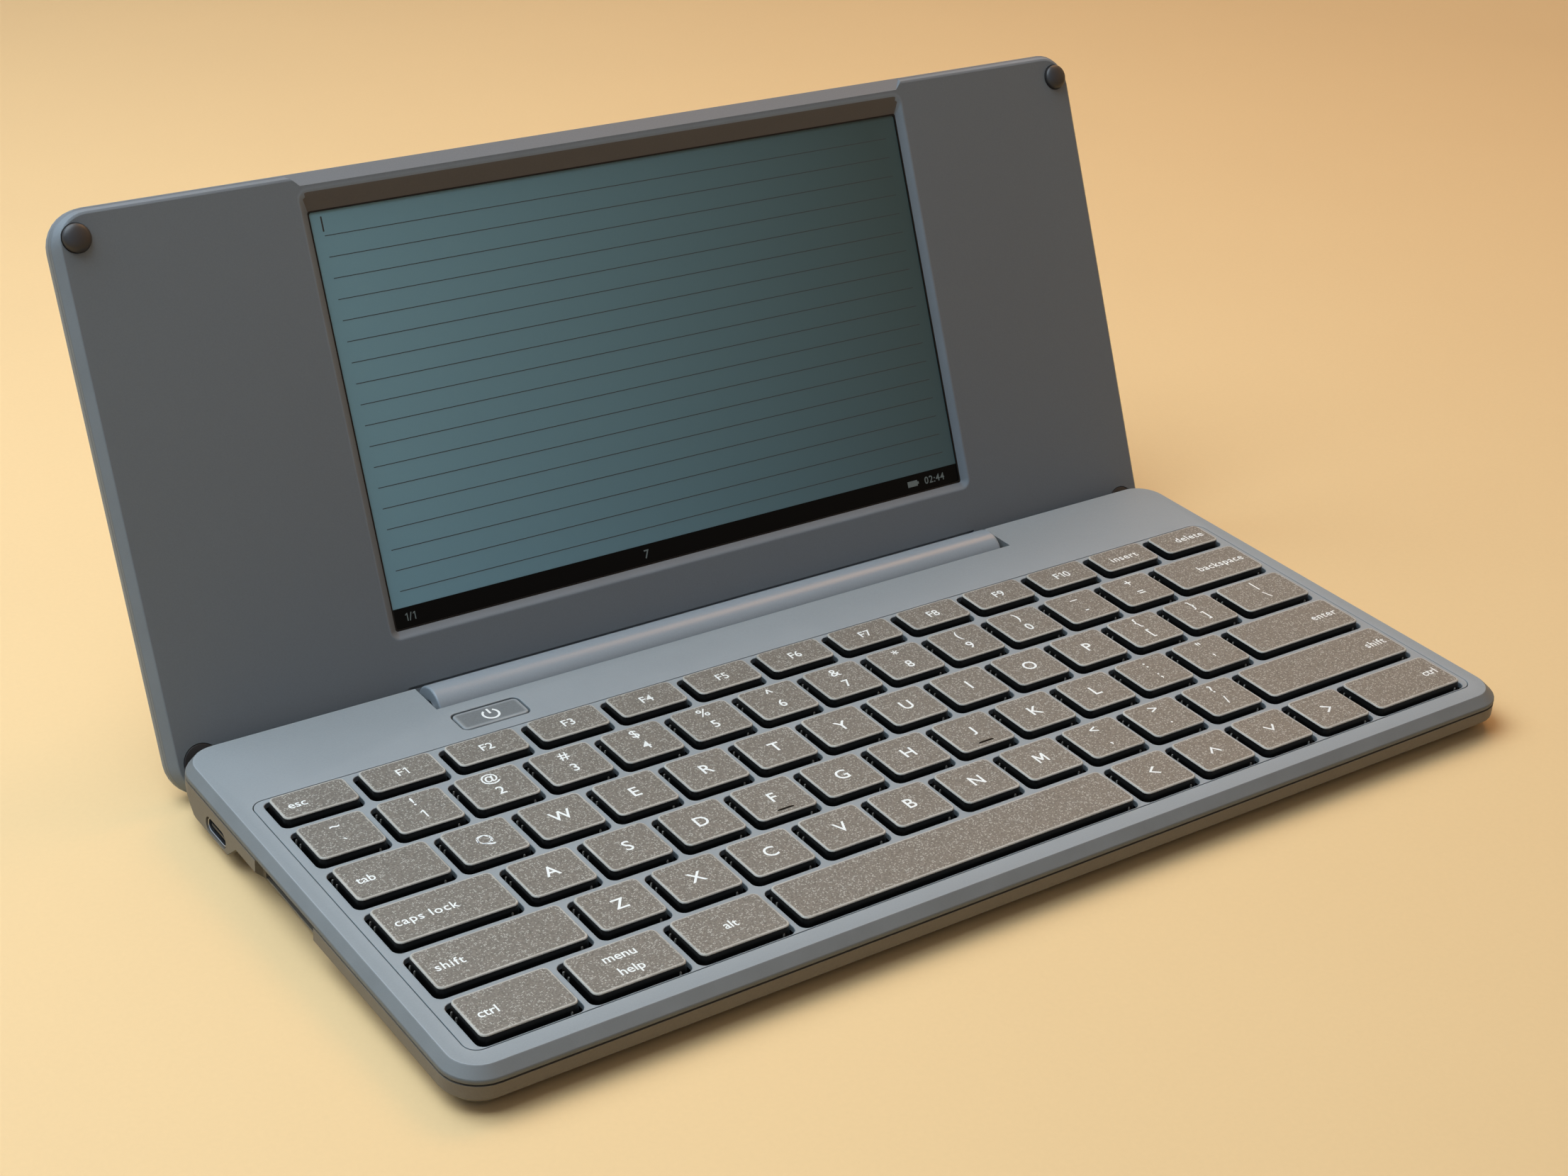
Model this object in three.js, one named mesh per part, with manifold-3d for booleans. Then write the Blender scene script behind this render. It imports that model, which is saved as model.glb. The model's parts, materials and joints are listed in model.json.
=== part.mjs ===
// Portable electronic word processor: a flat keyboard base and a lid with the screen,
// joined by a friction hinge inside a long barrel at the rear.
// Millimetres, +Z up. The base is drawn with the deck's top at z = 0 and its front wall
// at y = 0, the lid round the hinge axis, and both stand together on the table at the end.

import * as THREE from "three";
import { mergeVertices } from "three/addons/utils/BufferGeometryUtils.js";
import Module from "manifold-3d";

const wasm = await Module();
wasm.setup();

// Keyboard layout
const keyPitch = 17;
const rowPitch = 15.5;
const capGapAcross = 3.57;
const capGapAlong = 4.05;
const functionRowOffset = 13.94;
const functionCapLength = 8;
const functionCapGap = 3.75;
const capRise = 1.5;
const capCorner = 1;
const capShoulder = 0.35;
const capFlare = 0.7;
const capHoleMargin = 1.2;
const keyTravel = 1.5;
const barThickness = 0.6;
const barWidth = 5;

// Room round the keys
const sideMargin = 6.83;
const frontMargin = 13.6;
const rearMargin = 31.46;
const grooveMargin = 3.2;
const grooveFrontMargin = 7.4;
const grooveRearMargin = 6.5;
const grooveWidth = 0.5;
const grooveDepth = 0.4;
const grooveCorner = 3;

// Housing
const openAngle = 114.4;
const cornerRadius = 8;
const deckThickness = 1.2;
const wall = 1.3;
const floorThickness = 0.9;
const seamDepth = 2.65;
const edgeDrop = 1.8;
const edgeInsetSide = 1.7;
const edgeInsetFront = 1.4;
const bellyChamfer = 2.9;
const humpStep = 1.4;
const humpSlope = 5;
const humpLength = 25.4;
const humpEdge = 0.6;

// Clearances
const fitGap = 0.3;
const stackGap = 0.15;
const slideGap = 0.4;
const overrun = 2;

// Hinge
const hingeInset = 5.5;
const hingeDepth = 3.85;
const hingeRunningGap = 0.4;
const barrelRadius = 5.4;
const barrelLength = 152;
const barrelEndGap = 1.5;
const notchGap = 0.5;
const neckThickness = 3;
const neckLength = 120;
const neckReach = 2.6;
const pinRadius = 1.8;
const pinReach = 11;
const clipLength = 12;
const clipFootLength = 11;
const clipFootThickness = 1.2;

// Inside the base
const sheetThickness = 0.3;
const plateThickness = 0.5;
const batteryThickness = 2.55;
const batteryLeftInset = 42;
const batteryRightInset = 9;
const batteryFrontInset = 9;
const batteryRearGap = 3.5;
const boardThickness = 1;
const boardWidth = 190;
const boardRearGap = 1.3;
const usbWidth = 8.94;
const usbHeight = 3.16;
const usbLength = 7.3;
const usbShell = 0.3;
const usbMouthDepth = 5.5;
const usbTongueWidth = 6.7;
const usbTongueHeight = 0.7;
const usbRearInset = 20.9;
const cardWidth = 24;
const cardThickness = 2.1;
const cardPlay = 0.05;
const cardReach = 22;
const socketWidth = 26.4;
const socketLength = 28;
const scoopDepth = 2.2;
const scoopWidth = 25.3;
const scoopRearInset = 52;

// Power button
const powerWidth = 15.4;
const powerLength = 6.5;
const powerHeight = 2.4;
const powerCorner = 1.2;
const powerLeftInset = 63;
const powerRearInset = 18.3;

// Feet
const footWidth = 190;
const footLength = 5;
const footHeight = 1.4;
const footProud = 0.8;
const footInset = 5.5;
const rearFootInset = 15;

// Lid
const bezelThickness = 1.2;
const glassDrop = 1.5;
const panelThickness = 1.4;
const trayThickness = 2.2;
const coverThickness = 1.2;
const lidSeamDrop = 2.6;
const lidBackChamfer = 1.5;
const lidFootChamfer = 0.8;
const screenWidth = 153.6;
const screenChin = 17.1;
const screenBrow = 8.2;
const panelMargin = 3.6;
const windowBevel = 1.6;
const windowBrowBevel = 4;
const windowCorner = 0.6;
const fingerBevelReach = 2.8;
const fingerBevelDrop = 2.1;
const bumperRadius = 2.95;
const bumperSeat = 0.5;
const bumperSideInset = 5.1;
const bumperTopInset = 5.9;
const lowerCapRadius = 3.85;
const lowerCapThickness = 0.8;
const lowerCapSideInset = 6.8;
const lowerCapRise = 1.7;

// Fineness of round shapes
const cornerSteps = 6;
const holeSteps = 1;
const roundSides = 24;
const arcSteps = 8;

// Places that follow from the sizes above
const keyboardUnits = 44 / 3;
const keyboardWidth = keyPitch * keyboardUnits;
const halfKeyboard = keyboardWidth / 2;
const halfWidth = halfKeyboard + sideMargin;
const mainRows = 5;
const numberRowY = frontMargin + (mainRows - 1) * rowPitch;
const functionRowY = numberRowY + functionRowOffset;
const bodyLength = functionRowY + rearMargin;
const hingeY = bodyLength - hingeInset;
const lidTop = hingeY;
const lidFaceDrop = hingeInset + hingeRunningGap;
const closedGap = lidFaceDrop - hingeDepth;
const barDepth = deckThickness + fitGap;
const capDepth = barDepth + barThickness;
const clipRadius = hingeDepth - deckThickness - fitGap;
const sheetDepth = capDepth + keyTravel + fitGap;
const plateDepth = sheetDepth + sheetThickness + stackGap;
const packDepth = plateDepth + plateThickness + stackGap;
const packFloor = packDepth + batteryThickness;
const bellyDepth = packFloor + stackGap + floorThickness;
const humpDepth = bellyDepth + humpStep;
const lidThickness =
  glassDrop + panelThickness + stackGap + trayThickness + fitGap + coverThickness;

// Rounded rectangle at height z, counter-clockwise seen from above
function ring({ left, right, front, rear, corner, z, steps = cornerSteps }) {
  const centres = [
    [right - corner, rear - corner],
    [left + corner, rear - corner],
    [left + corner, front + corner],
    [right - corner, front + corner],
  ];
  return centres.flatMap(([x, y], quarter) =>
    Array.from({ length: steps + 1 }, (_, step) => {
      const turn = ((quarter + step / steps) * Math.PI) / 2;
      return new THREE.Vector3(x + corner * Math.cos(turn), y + corner * Math.sin(turn), z);
    })
  );
}

// Closed skin through rings of equally many points, from the lowest ring to the highest
function loft(rings) {
  const count = rings[0].length;
  const positions = rings.flat().flatMap((point) => [point.x, point.y, point.z]);
  const faces = [];
  for (let level = 0; level < rings.length - 1; level += 1) {
    for (let side = 0; side < count; side += 1) {
      const next = (side + 1) % count;
      const a = level * count + side;
      const b = level * count + next;
      faces.push(a, b, b + count, a, b + count, a + count);
    }
  }
  const top = (rings.length - 1) * count;
  for (let side = 1; side < count - 1; side += 1) {
    faces.push(0, side + 1, side);
    faces.push(top, top + side, top + side + 1);
  }
  const geometry = new THREE.BufferGeometry();
  geometry.setAttribute("position", new THREE.Float32BufferAttribute(positions, 3));
  geometry.setIndex(faces);
  return geometry;
}

// Block between two corners, with an optional corner radius seen from above
function block(left, right, front, rear, bottom, top, corner = 0) {
  if (corner === 0) {
    const box = new THREE.BoxGeometry(right - left, rear - front, top - bottom);
    return box.translate((left + right) / 2, (front + rear) / 2, (bottom + top) / 2);
  }
  const outline = { left, right, front, rear, corner };
  return loft([ring({ ...outline, z: bottom }), ring({ ...outline, z: top })]);
}

// Prism along X from an outline of [y, z] points, counter-clockwise seen from +X
function prismAlongX(outline, left, right) {
  const shape = new THREE.Shape(outline.map(([y, z]) => new THREE.Vector2(y, z)));
  const prism = new THREE.ExtrudeGeometry(shape, { depth: right - left, bevelEnabled: false });
  const turn = new THREE.Matrix4().makeBasis(
    new THREE.Vector3(0, 1, 0), new THREE.Vector3(0, 0, 1), new THREE.Vector3(1, 0, 0)
  );
  return prism.applyMatrix4(turn).translate(left, 0, 0);
}

function rodAlongX(radius, left, right, y, z) {
  const rod = new THREE.CylinderGeometry(radius, radius, right - left, roundSides);
  return rod.rotateZ(Math.PI / 2).translate((left + right) / 2, y, z);
}

function disc(radius, x, y, bottom, top, topRadius = radius) {
  const rod = new THREE.CylinderGeometry(topRadius, radius, top - bottom, roundSides);
  return rod.rotateX(Math.PI / 2).translate(x, y, (bottom + top) / 2);
}

// Solids for cutting and joining, and the way back to a geometry
function solid(geometry) {
  const bare = geometry.clone();
  bare.deleteAttribute("normal");
  bare.deleteAttribute("uv");
  const merged = mergeVertices(bare);
  const vertProperties = Float32Array.from(merged.attributes.position.array);
  const triVerts = Uint32Array.from(merged.index.array);
  return new wasm.Manifold(new wasm.Mesh({ numProp: 3, vertProperties, triVerts }));
}

function cut(body, ...tools) {
  return tools.reduce((rest, tool) => rest.subtract(tool), body);
}

function geometryOf(body) {
  const { vertProperties, triVerts } = body.getMesh();
  const geometry = new THREE.BufferGeometry();
  geometry.setAttribute("position", new THREE.BufferAttribute(vertProperties, 3));
  geometry.setIndex(new THREE.BufferAttribute(triVerts, 1));
  geometry.computeVertexNormals();
  return geometry;
}

const finishes = {
  deck: { color: 0x666a6d, roughness: 0.6, metalness: 0 },
  shell: { color: 0x55595c, roughness: 0.65, metalness: 0 },
  keys: { color: 0x3b3836, roughness: 0.6, metalness: 0 },
  barrel: { color: 0x8b8f91, roughness: 0.4, metalness: 0.2 },
  screen: { color: 0x4d666b, roughness: 0.15, metalness: 0 },
  rubber: { color: 0x242424, roughness: 0.8, metalness: 0 },
  steel: { color: 0xa9acae, roughness: 0.35, metalness: 1 },
  circuit: { color: 0x2c5a3c, roughness: 0.5, metalness: 0 },
  cell: { color: 0x8d9296, roughness: 0.4, metalness: 0.3 },
  membrane: { color: 0x9aa0a0, roughness: 0.7, metalness: 0 },
};

function piece(name, finish, shape) {
  const geometry = shape instanceof THREE.BufferGeometry ? shape : geometryOf(shape);
  const mesh = new THREE.Mesh(geometry, new THREE.MeshStandardMaterial(finishes[finish]));
  mesh.name = name;
  return mesh;
}

const base = new THREE.Group();
const lid = new THREE.Group();

// Keys: rows from the front to the rear, each from left to right, with the width of every
// cap as a share of the key pitch. The caps of one list move together on a bar under the deck.
const letters = (names) => [...names].map((name) => [`key_${name}`, [1]]);
const keyRowShares = [
  [["modifier_key_bar", [4 / 3, 4 / 3, 4 / 3]], ["key_space", [5]],
    ["arrow_key_bar", [1, 1, 1, 1]], ["key_right_ctrl", [5 / 3]]],
  [["key_left_shift", [2]], ...letters("zxcvbnm"), ["right_shift_key_bar", [1, 1, 1, 8 / 3]]],
  [["key_caps_lock", [5 / 3]], ...letters("asdfghjkl"), ["enter_key_bar", [1, 1, 2]]],
  [["key_tab", [4 / 3]], ...letters("qwertyuiop"), ["bracket_key_bar", [1, 1, 4 / 3]]],
  [["number_key_bar", [...Array(13).fill(1), 5 / 3]]],
];
const functionKeyShares = [["function_key_bar", Array(13).fill(keyboardUnits / 13)]];

function capSizes(widthShare, inFunctionRow) {
  const gap = inFunctionRow ? functionCapGap : capGapAcross;
  const length = inFunctionRow ? functionCapLength : rowPitch - capGapAlong;
  return { width: widthShare * keyPitch - gap, length };
}

function capOutline({ x, y, width, length }, grow, z, corner = capCorner) {
  return ring({
    left: x - width / 2 - grow, right: x + width / 2 + grow,
    front: y - length / 2 - grow, rear: y + length / 2 + grow,
    corner, z, steps: holeSteps,
  });
}

function keyCap(cap) {
  return solid(loft([
    capOutline(cap, capFlare, -capDepth),
    capOutline(cap, capShoulder, capRise - capShoulder),
    capOutline(cap, 0, capRise),
  ]));
}

function keyHole(cap) {
  const corner = capCorner + capFlare;
  return solid(loft([
    capOutline(cap, capHoleMargin, -deckThickness - overrun, corner),
    capOutline(cap, capHoleMargin, overrun, corner),
  ]));
}

// One moving body of one or more caps, and the holes that it needs in the deck
function keyBody(name, left, shares, y, inFunctionRow) {
  let right = left;
  const caps = shares.map((share) => {
    const x = right + (share * keyPitch) / 2;
    right += share * keyPitch;
    return { x, y, ...capSizes(share, inFunctionRow) };
  });
  let body = caps.map(keyCap).reduce((all, cap) => all.add(cap));
  if (caps.length > 1) {
    const first = caps[0].x;
    const last = caps[caps.length - 1].x;
    const bar = block(first, last, y - barWidth / 2, y + barWidth / 2, -capDepth, -barDepth);
    body = body.add(solid(bar));
  }
  return { mesh: piece(name, "keys", body), holes: caps.map(keyHole), right };
}

const keyMeshes = [];
const keyHoles = [];
function addKeys(list, y, inFunctionRow = false) {
  let left = -halfKeyboard;
  for (const [name, shares] of list) {
    const made = keyBody(name, left, shares, y, inFunctionRow);
    keyMeshes.push(made.mesh);
    keyHoles.push(...made.holes);
    left = made.right;
  }
}
keyRowShares.forEach((list, row) => addKeys(list, frontMargin + row * rowPitch));
addKeys(functionKeyShares, functionRowY, true);

// Rear face of the base: round about the hinge axis, then straight down and forward
// at 45 degrees, so that the lid's face passes it at the same small gap at every angle
function rearAt(z, inset = 0) {
  const radius = hingeInset - inset;
  const rise = z + hingeDepth;
  if (rise > -radius * Math.SQRT1_2) {
    return hingeY + Math.sqrt(Math.max(radius * radius - rise * rise, 0));
  }
  return hingeY + radius * Math.SQRT2 + rise;
}

function baseRing(z, { side = 0, front = side, rear = side }) {
  return ring({
    left: -halfWidth + side, right: halfWidth - side, front, rear: rearAt(z, rear),
    corner: cornerRadius - side, z,
  });
}

const arcLevels = (low, high) =>
  Array.from({ length: arcSteps + 1 }, (_, step) => low + ((high - low) * step) / arcSteps);

const powerX = -halfWidth + powerLeftInset;
const powerY = bodyLength - powerRearInset;
const notchHalf = barrelLength / 2 + barrelEndGap;
const notchFront = hingeY - barrelRadius - notchGap;

function notch(grow) {
  return solid(block(
    -notchHalf - grow, notchHalf + grow, notchFront - grow, bodyLength + overrun,
    -humpDepth - overrun, overrun
  ));
}

const pinHoles = [-1, 1].map((side) => {
  const near = side * (notchHalf - overrun);
  const far = side * (notchHalf + wall + overrun);
  const radius = pinRadius + fitGap;
  return solid(rodAlongX(
    radius, Math.min(near, far), Math.max(near, far), hingeY, -hingeDepth
  ));
});

// Top shell: the deck with a hole for every key, its sloped edges and its rim
function topShell() {
  const shoulder = (share) => ({
    side: edgeInsetSide * share, front: edgeInsetFront * share, rear: 0,
  });
  const rings = [
    baseRing(-seamDepth, {}),
    baseRing(-edgeDrop, {}),
    baseRing(-edgeDrop / 2, shoulder(1 / 2)),
    baseRing(0, shoulder(1)),
  ];
  const inner = [
    baseRing(-seamDepth - overrun, { side: wall }),
    baseRing(-edgeDrop, { side: wall }),
    baseRing(-deckThickness, { side: wall + edgeInsetSide }),
  ];
  const hollow = solid(loft(inner)).subtract(notch(wall));
  const grooveOutline = {
    left: -halfKeyboard - grooveMargin / 2, right: halfKeyboard + grooveMargin / 2,
    front: frontMargin - grooveFrontMargin, rear: functionRowY + grooveRearMargin,
    corner: grooveCorner,
  };
  const inside = {
    left: grooveOutline.left + grooveWidth, right: grooveOutline.right - grooveWidth,
    front: grooveOutline.front + grooveWidth, rear: grooveOutline.rear - grooveWidth,
    corner: grooveCorner - grooveWidth,
  };
  const band = (outline) =>
    solid(loft([ring({ ...outline, z: -grooveDepth }), ring({ ...outline, z: overrun })]));
  const powerHole = solid(block(
    powerX - powerWidth / 2 - slideGap, powerX + powerWidth / 2 + slideGap,
    powerY - powerLength / 2 - slideGap, powerY + powerLength / 2 + slideGap,
    -deckThickness - overrun, overrun, powerCorner + slideGap
  ));
  return cut(
    solid(loft(rings)), hollow, notch(0), band(grooveOutline).subtract(band(inside)),
    powerHole, ...pinHoles, ...keyHoles
  );
}

// Bottom shell: a shallow belly with wide sloped edges, and a deeper hump along the rear
const usbY = bodyLength - usbRearInset;
const usbZ = -(humpDepth - floorThickness - fitGap - usbHeight / 2);
const scoopY = bodyLength - scoopRearInset;
const innerWallX = -halfWidth + scoopDepth;
const slotZ = -(packDepth + batteryThickness / 2);

function roundSlot(width, height, left, right, y, z) {
  const slot = new THREE.Shape();
  const reach = (width - height) / 2;
  slot.absarc(reach, 0, height / 2, -Math.PI / 2, Math.PI / 2);
  slot.absarc(-reach, 0, height / 2, Math.PI / 2, (3 * Math.PI) / 2);
  const outline = slot.getPoints(arcSteps / 2).slice(0, -1).map((point) => [point.x, point.y]);
  return solid(prismAlongX(outline, left, right).translate(0, y, z));
}

function bottomShell() {
  const seam = -seamDepth - fitGap;
  const belly = [
    baseRing(-bellyDepth, { side: bellyChamfer, rear: bellyChamfer }),
    baseRing(-bellyDepth + bellyChamfer, {}),
    baseRing(seam, {}),
  ];
  const deep = [
    baseRing(-humpDepth, { side: humpEdge, rear: 0 }),
    ...arcLevels(-humpDepth + humpEdge, seam).map((z) => baseRing(z, {})),
  ];
  const innerSlant = wall * Math.SQRT2;
  const bellyFloor = -bellyDepth + floorThickness;
  const bellyInner = [
    baseRing(bellyFloor, { side: bellyChamfer + innerSlant - floorThickness }),
    baseRing(-bellyDepth + bellyChamfer + innerSlant - wall, { side: wall }),
    baseRing(seam + overrun, { side: wall }),
  ];
  const deepInner = arcLevels(-humpDepth + floorThickness, seam).map((z) =>
    baseRing(z, { side: wall, rear: wall })
  );
  deepInner.push(baseRing(seam + overrun, { side: wall, rear: wall + overrun }));
  const humpFront = bodyLength - humpLength;
  const underBelly = (shift, floor, shoulder) => solid(prismAlongX([
    [-overrun, -humpDepth - overrun], [humpFront + shift, -humpDepth - overrun],
    [humpFront + shift, floor], [humpFront - humpSlope + shift, shoulder], [-overrun, shoulder],
  ], -halfWidth - overrun, halfWidth + overrun));
  const outer = solid(loft(belly)).add(
    solid(loft(deep)).subtract(underBelly(0, -humpDepth, -bellyDepth + bellyChamfer))
  );
  const innerTop = -bellyDepth + bellyChamfer + wall;
  const hollow = solid(loft(bellyInner)).add(
    solid(loft(deepInner)).subtract(underBelly(wall, -humpDepth + floorThickness, innerTop))
  );
  const scoopFront = scoopY - scoopWidth / 2;
  const scoopRear = scoopY + scoopWidth / 2;
  const scoopWall = solid(block(
    -halfWidth - overrun, innerWallX + wall, scoopFront - wall, scoopRear + wall,
    -bellyDepth - overrun, overrun
  ));
  const scoop = solid(block(
    -halfWidth - overrun, innerWallX, scoopFront, scoopRear, -bellyDepth - overrun, overrun
  ));
  const cardSlot = solid(block(
    innerWallX - overrun, innerWallX + wall + overrun,
    scoopY - cardWidth / 2 - fitGap, scoopY + cardWidth / 2 + fitGap,
    slotZ - cardThickness / 2 - stackGap, slotZ + cardThickness / 2 + stackGap
  ));
  const usbHole = roundSlot(
    usbWidth + 2 * fitGap, usbHeight + 2 * fitGap,
    -halfWidth - overrun, -halfWidth + wall + overrun, usbY, usbZ
  );
  const footSeats = feet.map(({ seat }) => seat);
  return cut(
    outer, hollow.subtract(notch(wall)).subtract(scoopWall), notch(0), scoop, cardSlot,
    usbHole, ...pinHoles, ...footSeats
  );
}

// Two long rubber feet, each let into a shallow seat
function foot(name, front, depth) {
  const grip = footHeight - footProud;
  const half = footWidth / 2;
  const rear = front + footLength;
  const corner = footLength / 4;
  return {
    name,
    front,
    bottom: -depth - footProud,
    shape: block(-half, half, front, rear, -depth - footProud, -depth + grip - fitGap, corner),
    seat: solid(block(
      -half - fitGap, half + fitGap, front - fitGap, rear + fitGap,
      -depth - overrun, -depth + grip, corner + fitGap
    )),
  };
}
const feet = [
  foot("front_foot_strip", footInset, bellyDepth),
  foot("rear_foot_strip", bodyLength - rearFootInset - footLength, humpDepth),
];

// Inside pieces of the base
const boardFront = scoopY + socketWidth / 2 + fitGap;
const stackSide = halfWidth - scoopDepth - wall - fitGap;
const stackFront = frontMargin - grooveFrontMargin;
const stackRear = functionRowY + grooveRearMargin;

function keyLayer(depth, thickness) {
  const corner = grooveCorner;
  return block(-stackSide, stackSide, stackFront, stackRear, -depth - thickness, -depth, corner);
}

function battery() {
  return block(
    -halfWidth + batteryLeftInset, halfWidth - batteryRightInset,
    batteryFrontInset, boardFront - batteryRearGap, -packFloor, -packDepth, cornerRadius / 4
  );
}

const usbFace = -halfWidth + fitGap;
function board() {
  const left = innerWallX + wall + 2 * fitGap;
  const top = -packFloor + boardThickness;
  const plate = solid(block(
    left, left + boardWidth, boardFront, notchFront - wall - boardRearGap, -packFloor, top
  ));
  const gapForUsb = solid(block(
    left - overrun, usbFace + usbLength + fitGap,
    usbY - usbWidth / 2 - fitGap, usbY + usbWidth / 2 + fitGap, -packFloor - overrun, top + overrun
  ));
  return plate.subtract(gapForUsb);
}

function usbReceptacle() {
  const shell = roundSlot(usbWidth, usbHeight, usbFace, usbFace + usbLength, usbY, usbZ);
  const mouthWidth = usbWidth - 2 * usbShell;
  const mouthHeight = usbHeight - 2 * usbShell;
  const mouth = roundSlot(
    mouthWidth, mouthHeight, usbFace - overrun, usbFace + usbMouthDepth, usbY, usbZ
  );
  const tongue = solid(block(
    usbFace + usbShell, usbFace + usbLength,
    usbY - usbTongueWidth / 2, usbY + usbTongueWidth / 2,
    usbZ - usbTongueHeight / 2, usbZ + usbTongueHeight / 2
  ));
  return shell.subtract(mouth.subtract(tongue));
}

function cardSocket() {
  const left = innerWallX + wall + fitGap;
  const body = solid(block(
    left, left + socketLength, scoopY - socketWidth / 2, scoopY + socketWidth / 2,
    -packFloor, -packDepth
  ));
  const mouth = solid(block(
    left - overrun, left + cardReach, scoopY - cardWidth / 2 - cardPlay,
    scoopY + cardWidth / 2 + cardPlay,
    slotZ - cardThickness / 2 - cardPlay, slotZ + cardThickness / 2 + cardPlay
  ));
  return body.subtract(mouth);
}

// Friction clip in the base with the pin that enters the barrel's end
function hingeClip(side) {
  const near = side * (notchHalf + wall + fitGap);
  const far = near + side * clipLength;
  const tip = near - side * (wall + fitGap + barrelEndGap + pinReach);
  const between = (a, b) => [Math.min(a, b), Math.max(a, b)];
  const clip = solid(rodAlongX(clipRadius, ...between(near, far), hingeY, -hingeDepth));
  const pin = solid(rodAlongX(pinRadius, ...between(tip, far), hingeY, -hingeDepth));
  const low = -hingeDepth - clipRadius;
  const plate = solid(block(
    ...between(near, far), hingeY - clipFootLength, hingeY, low, low + clipFootThickness
  ));
  return clip.add(pin).add(plate);
}

// Lid, drawn in its own frame: X along the hinge, Y up the lid from the hinge axis,
// Z out of the screen towards the reader, with the hinge axis at the origin
const lidFaceZ = -lidFaceDrop;
const lidBackZ = lidFaceZ - lidThickness;
const lidFoot = -hingeInset;
const screen = {
  left: -screenWidth / 2, right: screenWidth / 2, front: screenChin, rear: lidTop - screenBrow,
};

function lidRing(z, { side = 0, foot = side, top = side }) {
  return ring({
    left: -halfWidth + side, right: halfWidth - side, front: lidFoot + foot, rear: lidTop - top,
    corner: cornerRadius - side, z,
  });
}

function grown(outline, amount, brow = amount) {
  return {
    left: outline.left - amount, right: outline.right + amount,
    front: outline.front - amount, rear: outline.rear + brow,
  };
}

const bumperX = halfWidth - bumperSideInset;
const bumperY = lidTop - bumperTopInset;
const lowerCapX = halfWidth - lowerCapSideInset;

function frontBezel() {
  const outer = solid(loft([
    lidRing(lidFaceZ - lidSeamDrop, {}),
    lidRing(lidFaceZ - edgeDrop, {}),
    lidRing(lidFaceZ, { side: edgeInsetSide, foot: lidFootChamfer, top: edgeInsetFront }),
  ]));
  const hollow = solid(loft([
    lidRing(lidFaceZ - lidSeamDrop - overrun, { side: wall, top: fingerBevelReach }),
    lidRing(lidFaceZ - edgeDrop, { side: wall, top: fingerBevelReach }),
    lidRing(lidFaceZ - bezelThickness, {
      side: wall + edgeInsetSide, foot: wall + lidFootChamfer,
      top: fingerBevelReach + edgeInsetSide,
    }),
  ]));
  const bevelled = grown(screen, windowBevel, windowBrowBevel);
  const slopeShare = overrun / bezelThickness;
  const wide = grown(bevelled, windowBevel * slopeShare, windowBrowBevel * slopeShare);
  const window = solid(loft([
    ring({ ...screen, corner: windowCorner, z: lidFaceZ - bezelThickness - overrun }),
    ring({ ...screen, corner: windowCorner, z: lidFaceZ - bezelThickness }),
    ring({ ...bevelled, corner: windowCorner + windowBevel, z: lidFaceZ }),
    ring({
      ...wide, corner: windowCorner + windowBevel + windowBevel * slopeShare,
      z: lidFaceZ + overrun,
    }),
  ]));
  const fingerBevel = solid(prismAlongX([
    [lidTop - fingerBevelReach, lidFaceZ], [lidTop, lidFaceZ - fingerBevelDrop],
    [lidTop + overrun, lidFaceZ - fingerBevelDrop], [lidTop + overrun, lidFaceZ + overrun],
    [lidTop - fingerBevelReach, lidFaceZ + overrun],
  ], screen.left - windowBevel, screen.right + windowBevel));
  const neckSlot = solid(block(
    -neckLength / 2 - fitGap, neckLength / 2 + fitGap,
    -neckThickness / 2 - fitGap, neckThickness / 2 + fitGap,
    lidFaceZ - lidSeamDrop - overrun, lidFaceZ + overrun
  ));
  const seats = [-1, 1].flatMap((side) => [
    solid(disc(
      bumperRadius + stackGap, side * bumperX, bumperY, lidFaceZ - bumperSeat, lidFaceZ + overrun
    )),
    solid(disc(
      lowerCapRadius + stackGap, side * lowerCapX, lowerCapRise,
      lidFaceZ - lowerCapThickness - stackGap, lidFaceZ + overrun
    )),
  ]);
  return cut(outer, hollow, window, fingerBevel, neckSlot, ...seats);
}

function rearCover() {
  const seam = lidFaceZ - lidSeamDrop - fitGap;
  const outer = solid(loft([
    lidRing(lidBackZ, { side: lidBackChamfer }),
    lidRing(lidBackZ + lidBackChamfer, {}),
    lidRing(seam, {}),
  ]));
  const hollow = solid(loft([
    lidRing(lidBackZ + coverThickness, { side: wall + lidBackChamfer / 2 }),
    lidRing(lidBackZ + coverThickness + lidBackChamfer / 2, { side: wall }),
    lidRing(seam + overrun, { side: wall }),
  ]));
  return outer.subtract(hollow);
}

const panelTop = lidFaceZ - glassDrop;
const panelOutline = grown(screen, panelMargin);
const trayTop = panelTop - panelThickness - stackGap;
function screenLayer(top, thickness) {
  const { left, right, front, rear } = panelOutline;
  return block(left, right, front, rear, top - thickness, top);
}

// Long barrel on the hinge axis, with a neck that enters the lid and a bore at each end
function barrel() {
  const half = barrelLength / 2;
  const neck = solid(block(
    -neckLength / 2, neckLength / 2, -neckThickness / 2, neckThickness / 2,
    lidFaceZ - neckReach, 0
  ));
  const bores = [-1, 1].map((side) => {
    const inner = side * (half - pinReach - fitGap);
    const outer = side * (half + overrun);
    const radius = pinRadius + fitGap;
    return solid(rodAlongX(radius, Math.min(inner, outer), Math.max(inner, outer), 0, 0));
  });
  return cut(solid(rodAlongX(barrelRadius, -half, half, 0, 0)).add(neck), ...bores);
}

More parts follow.
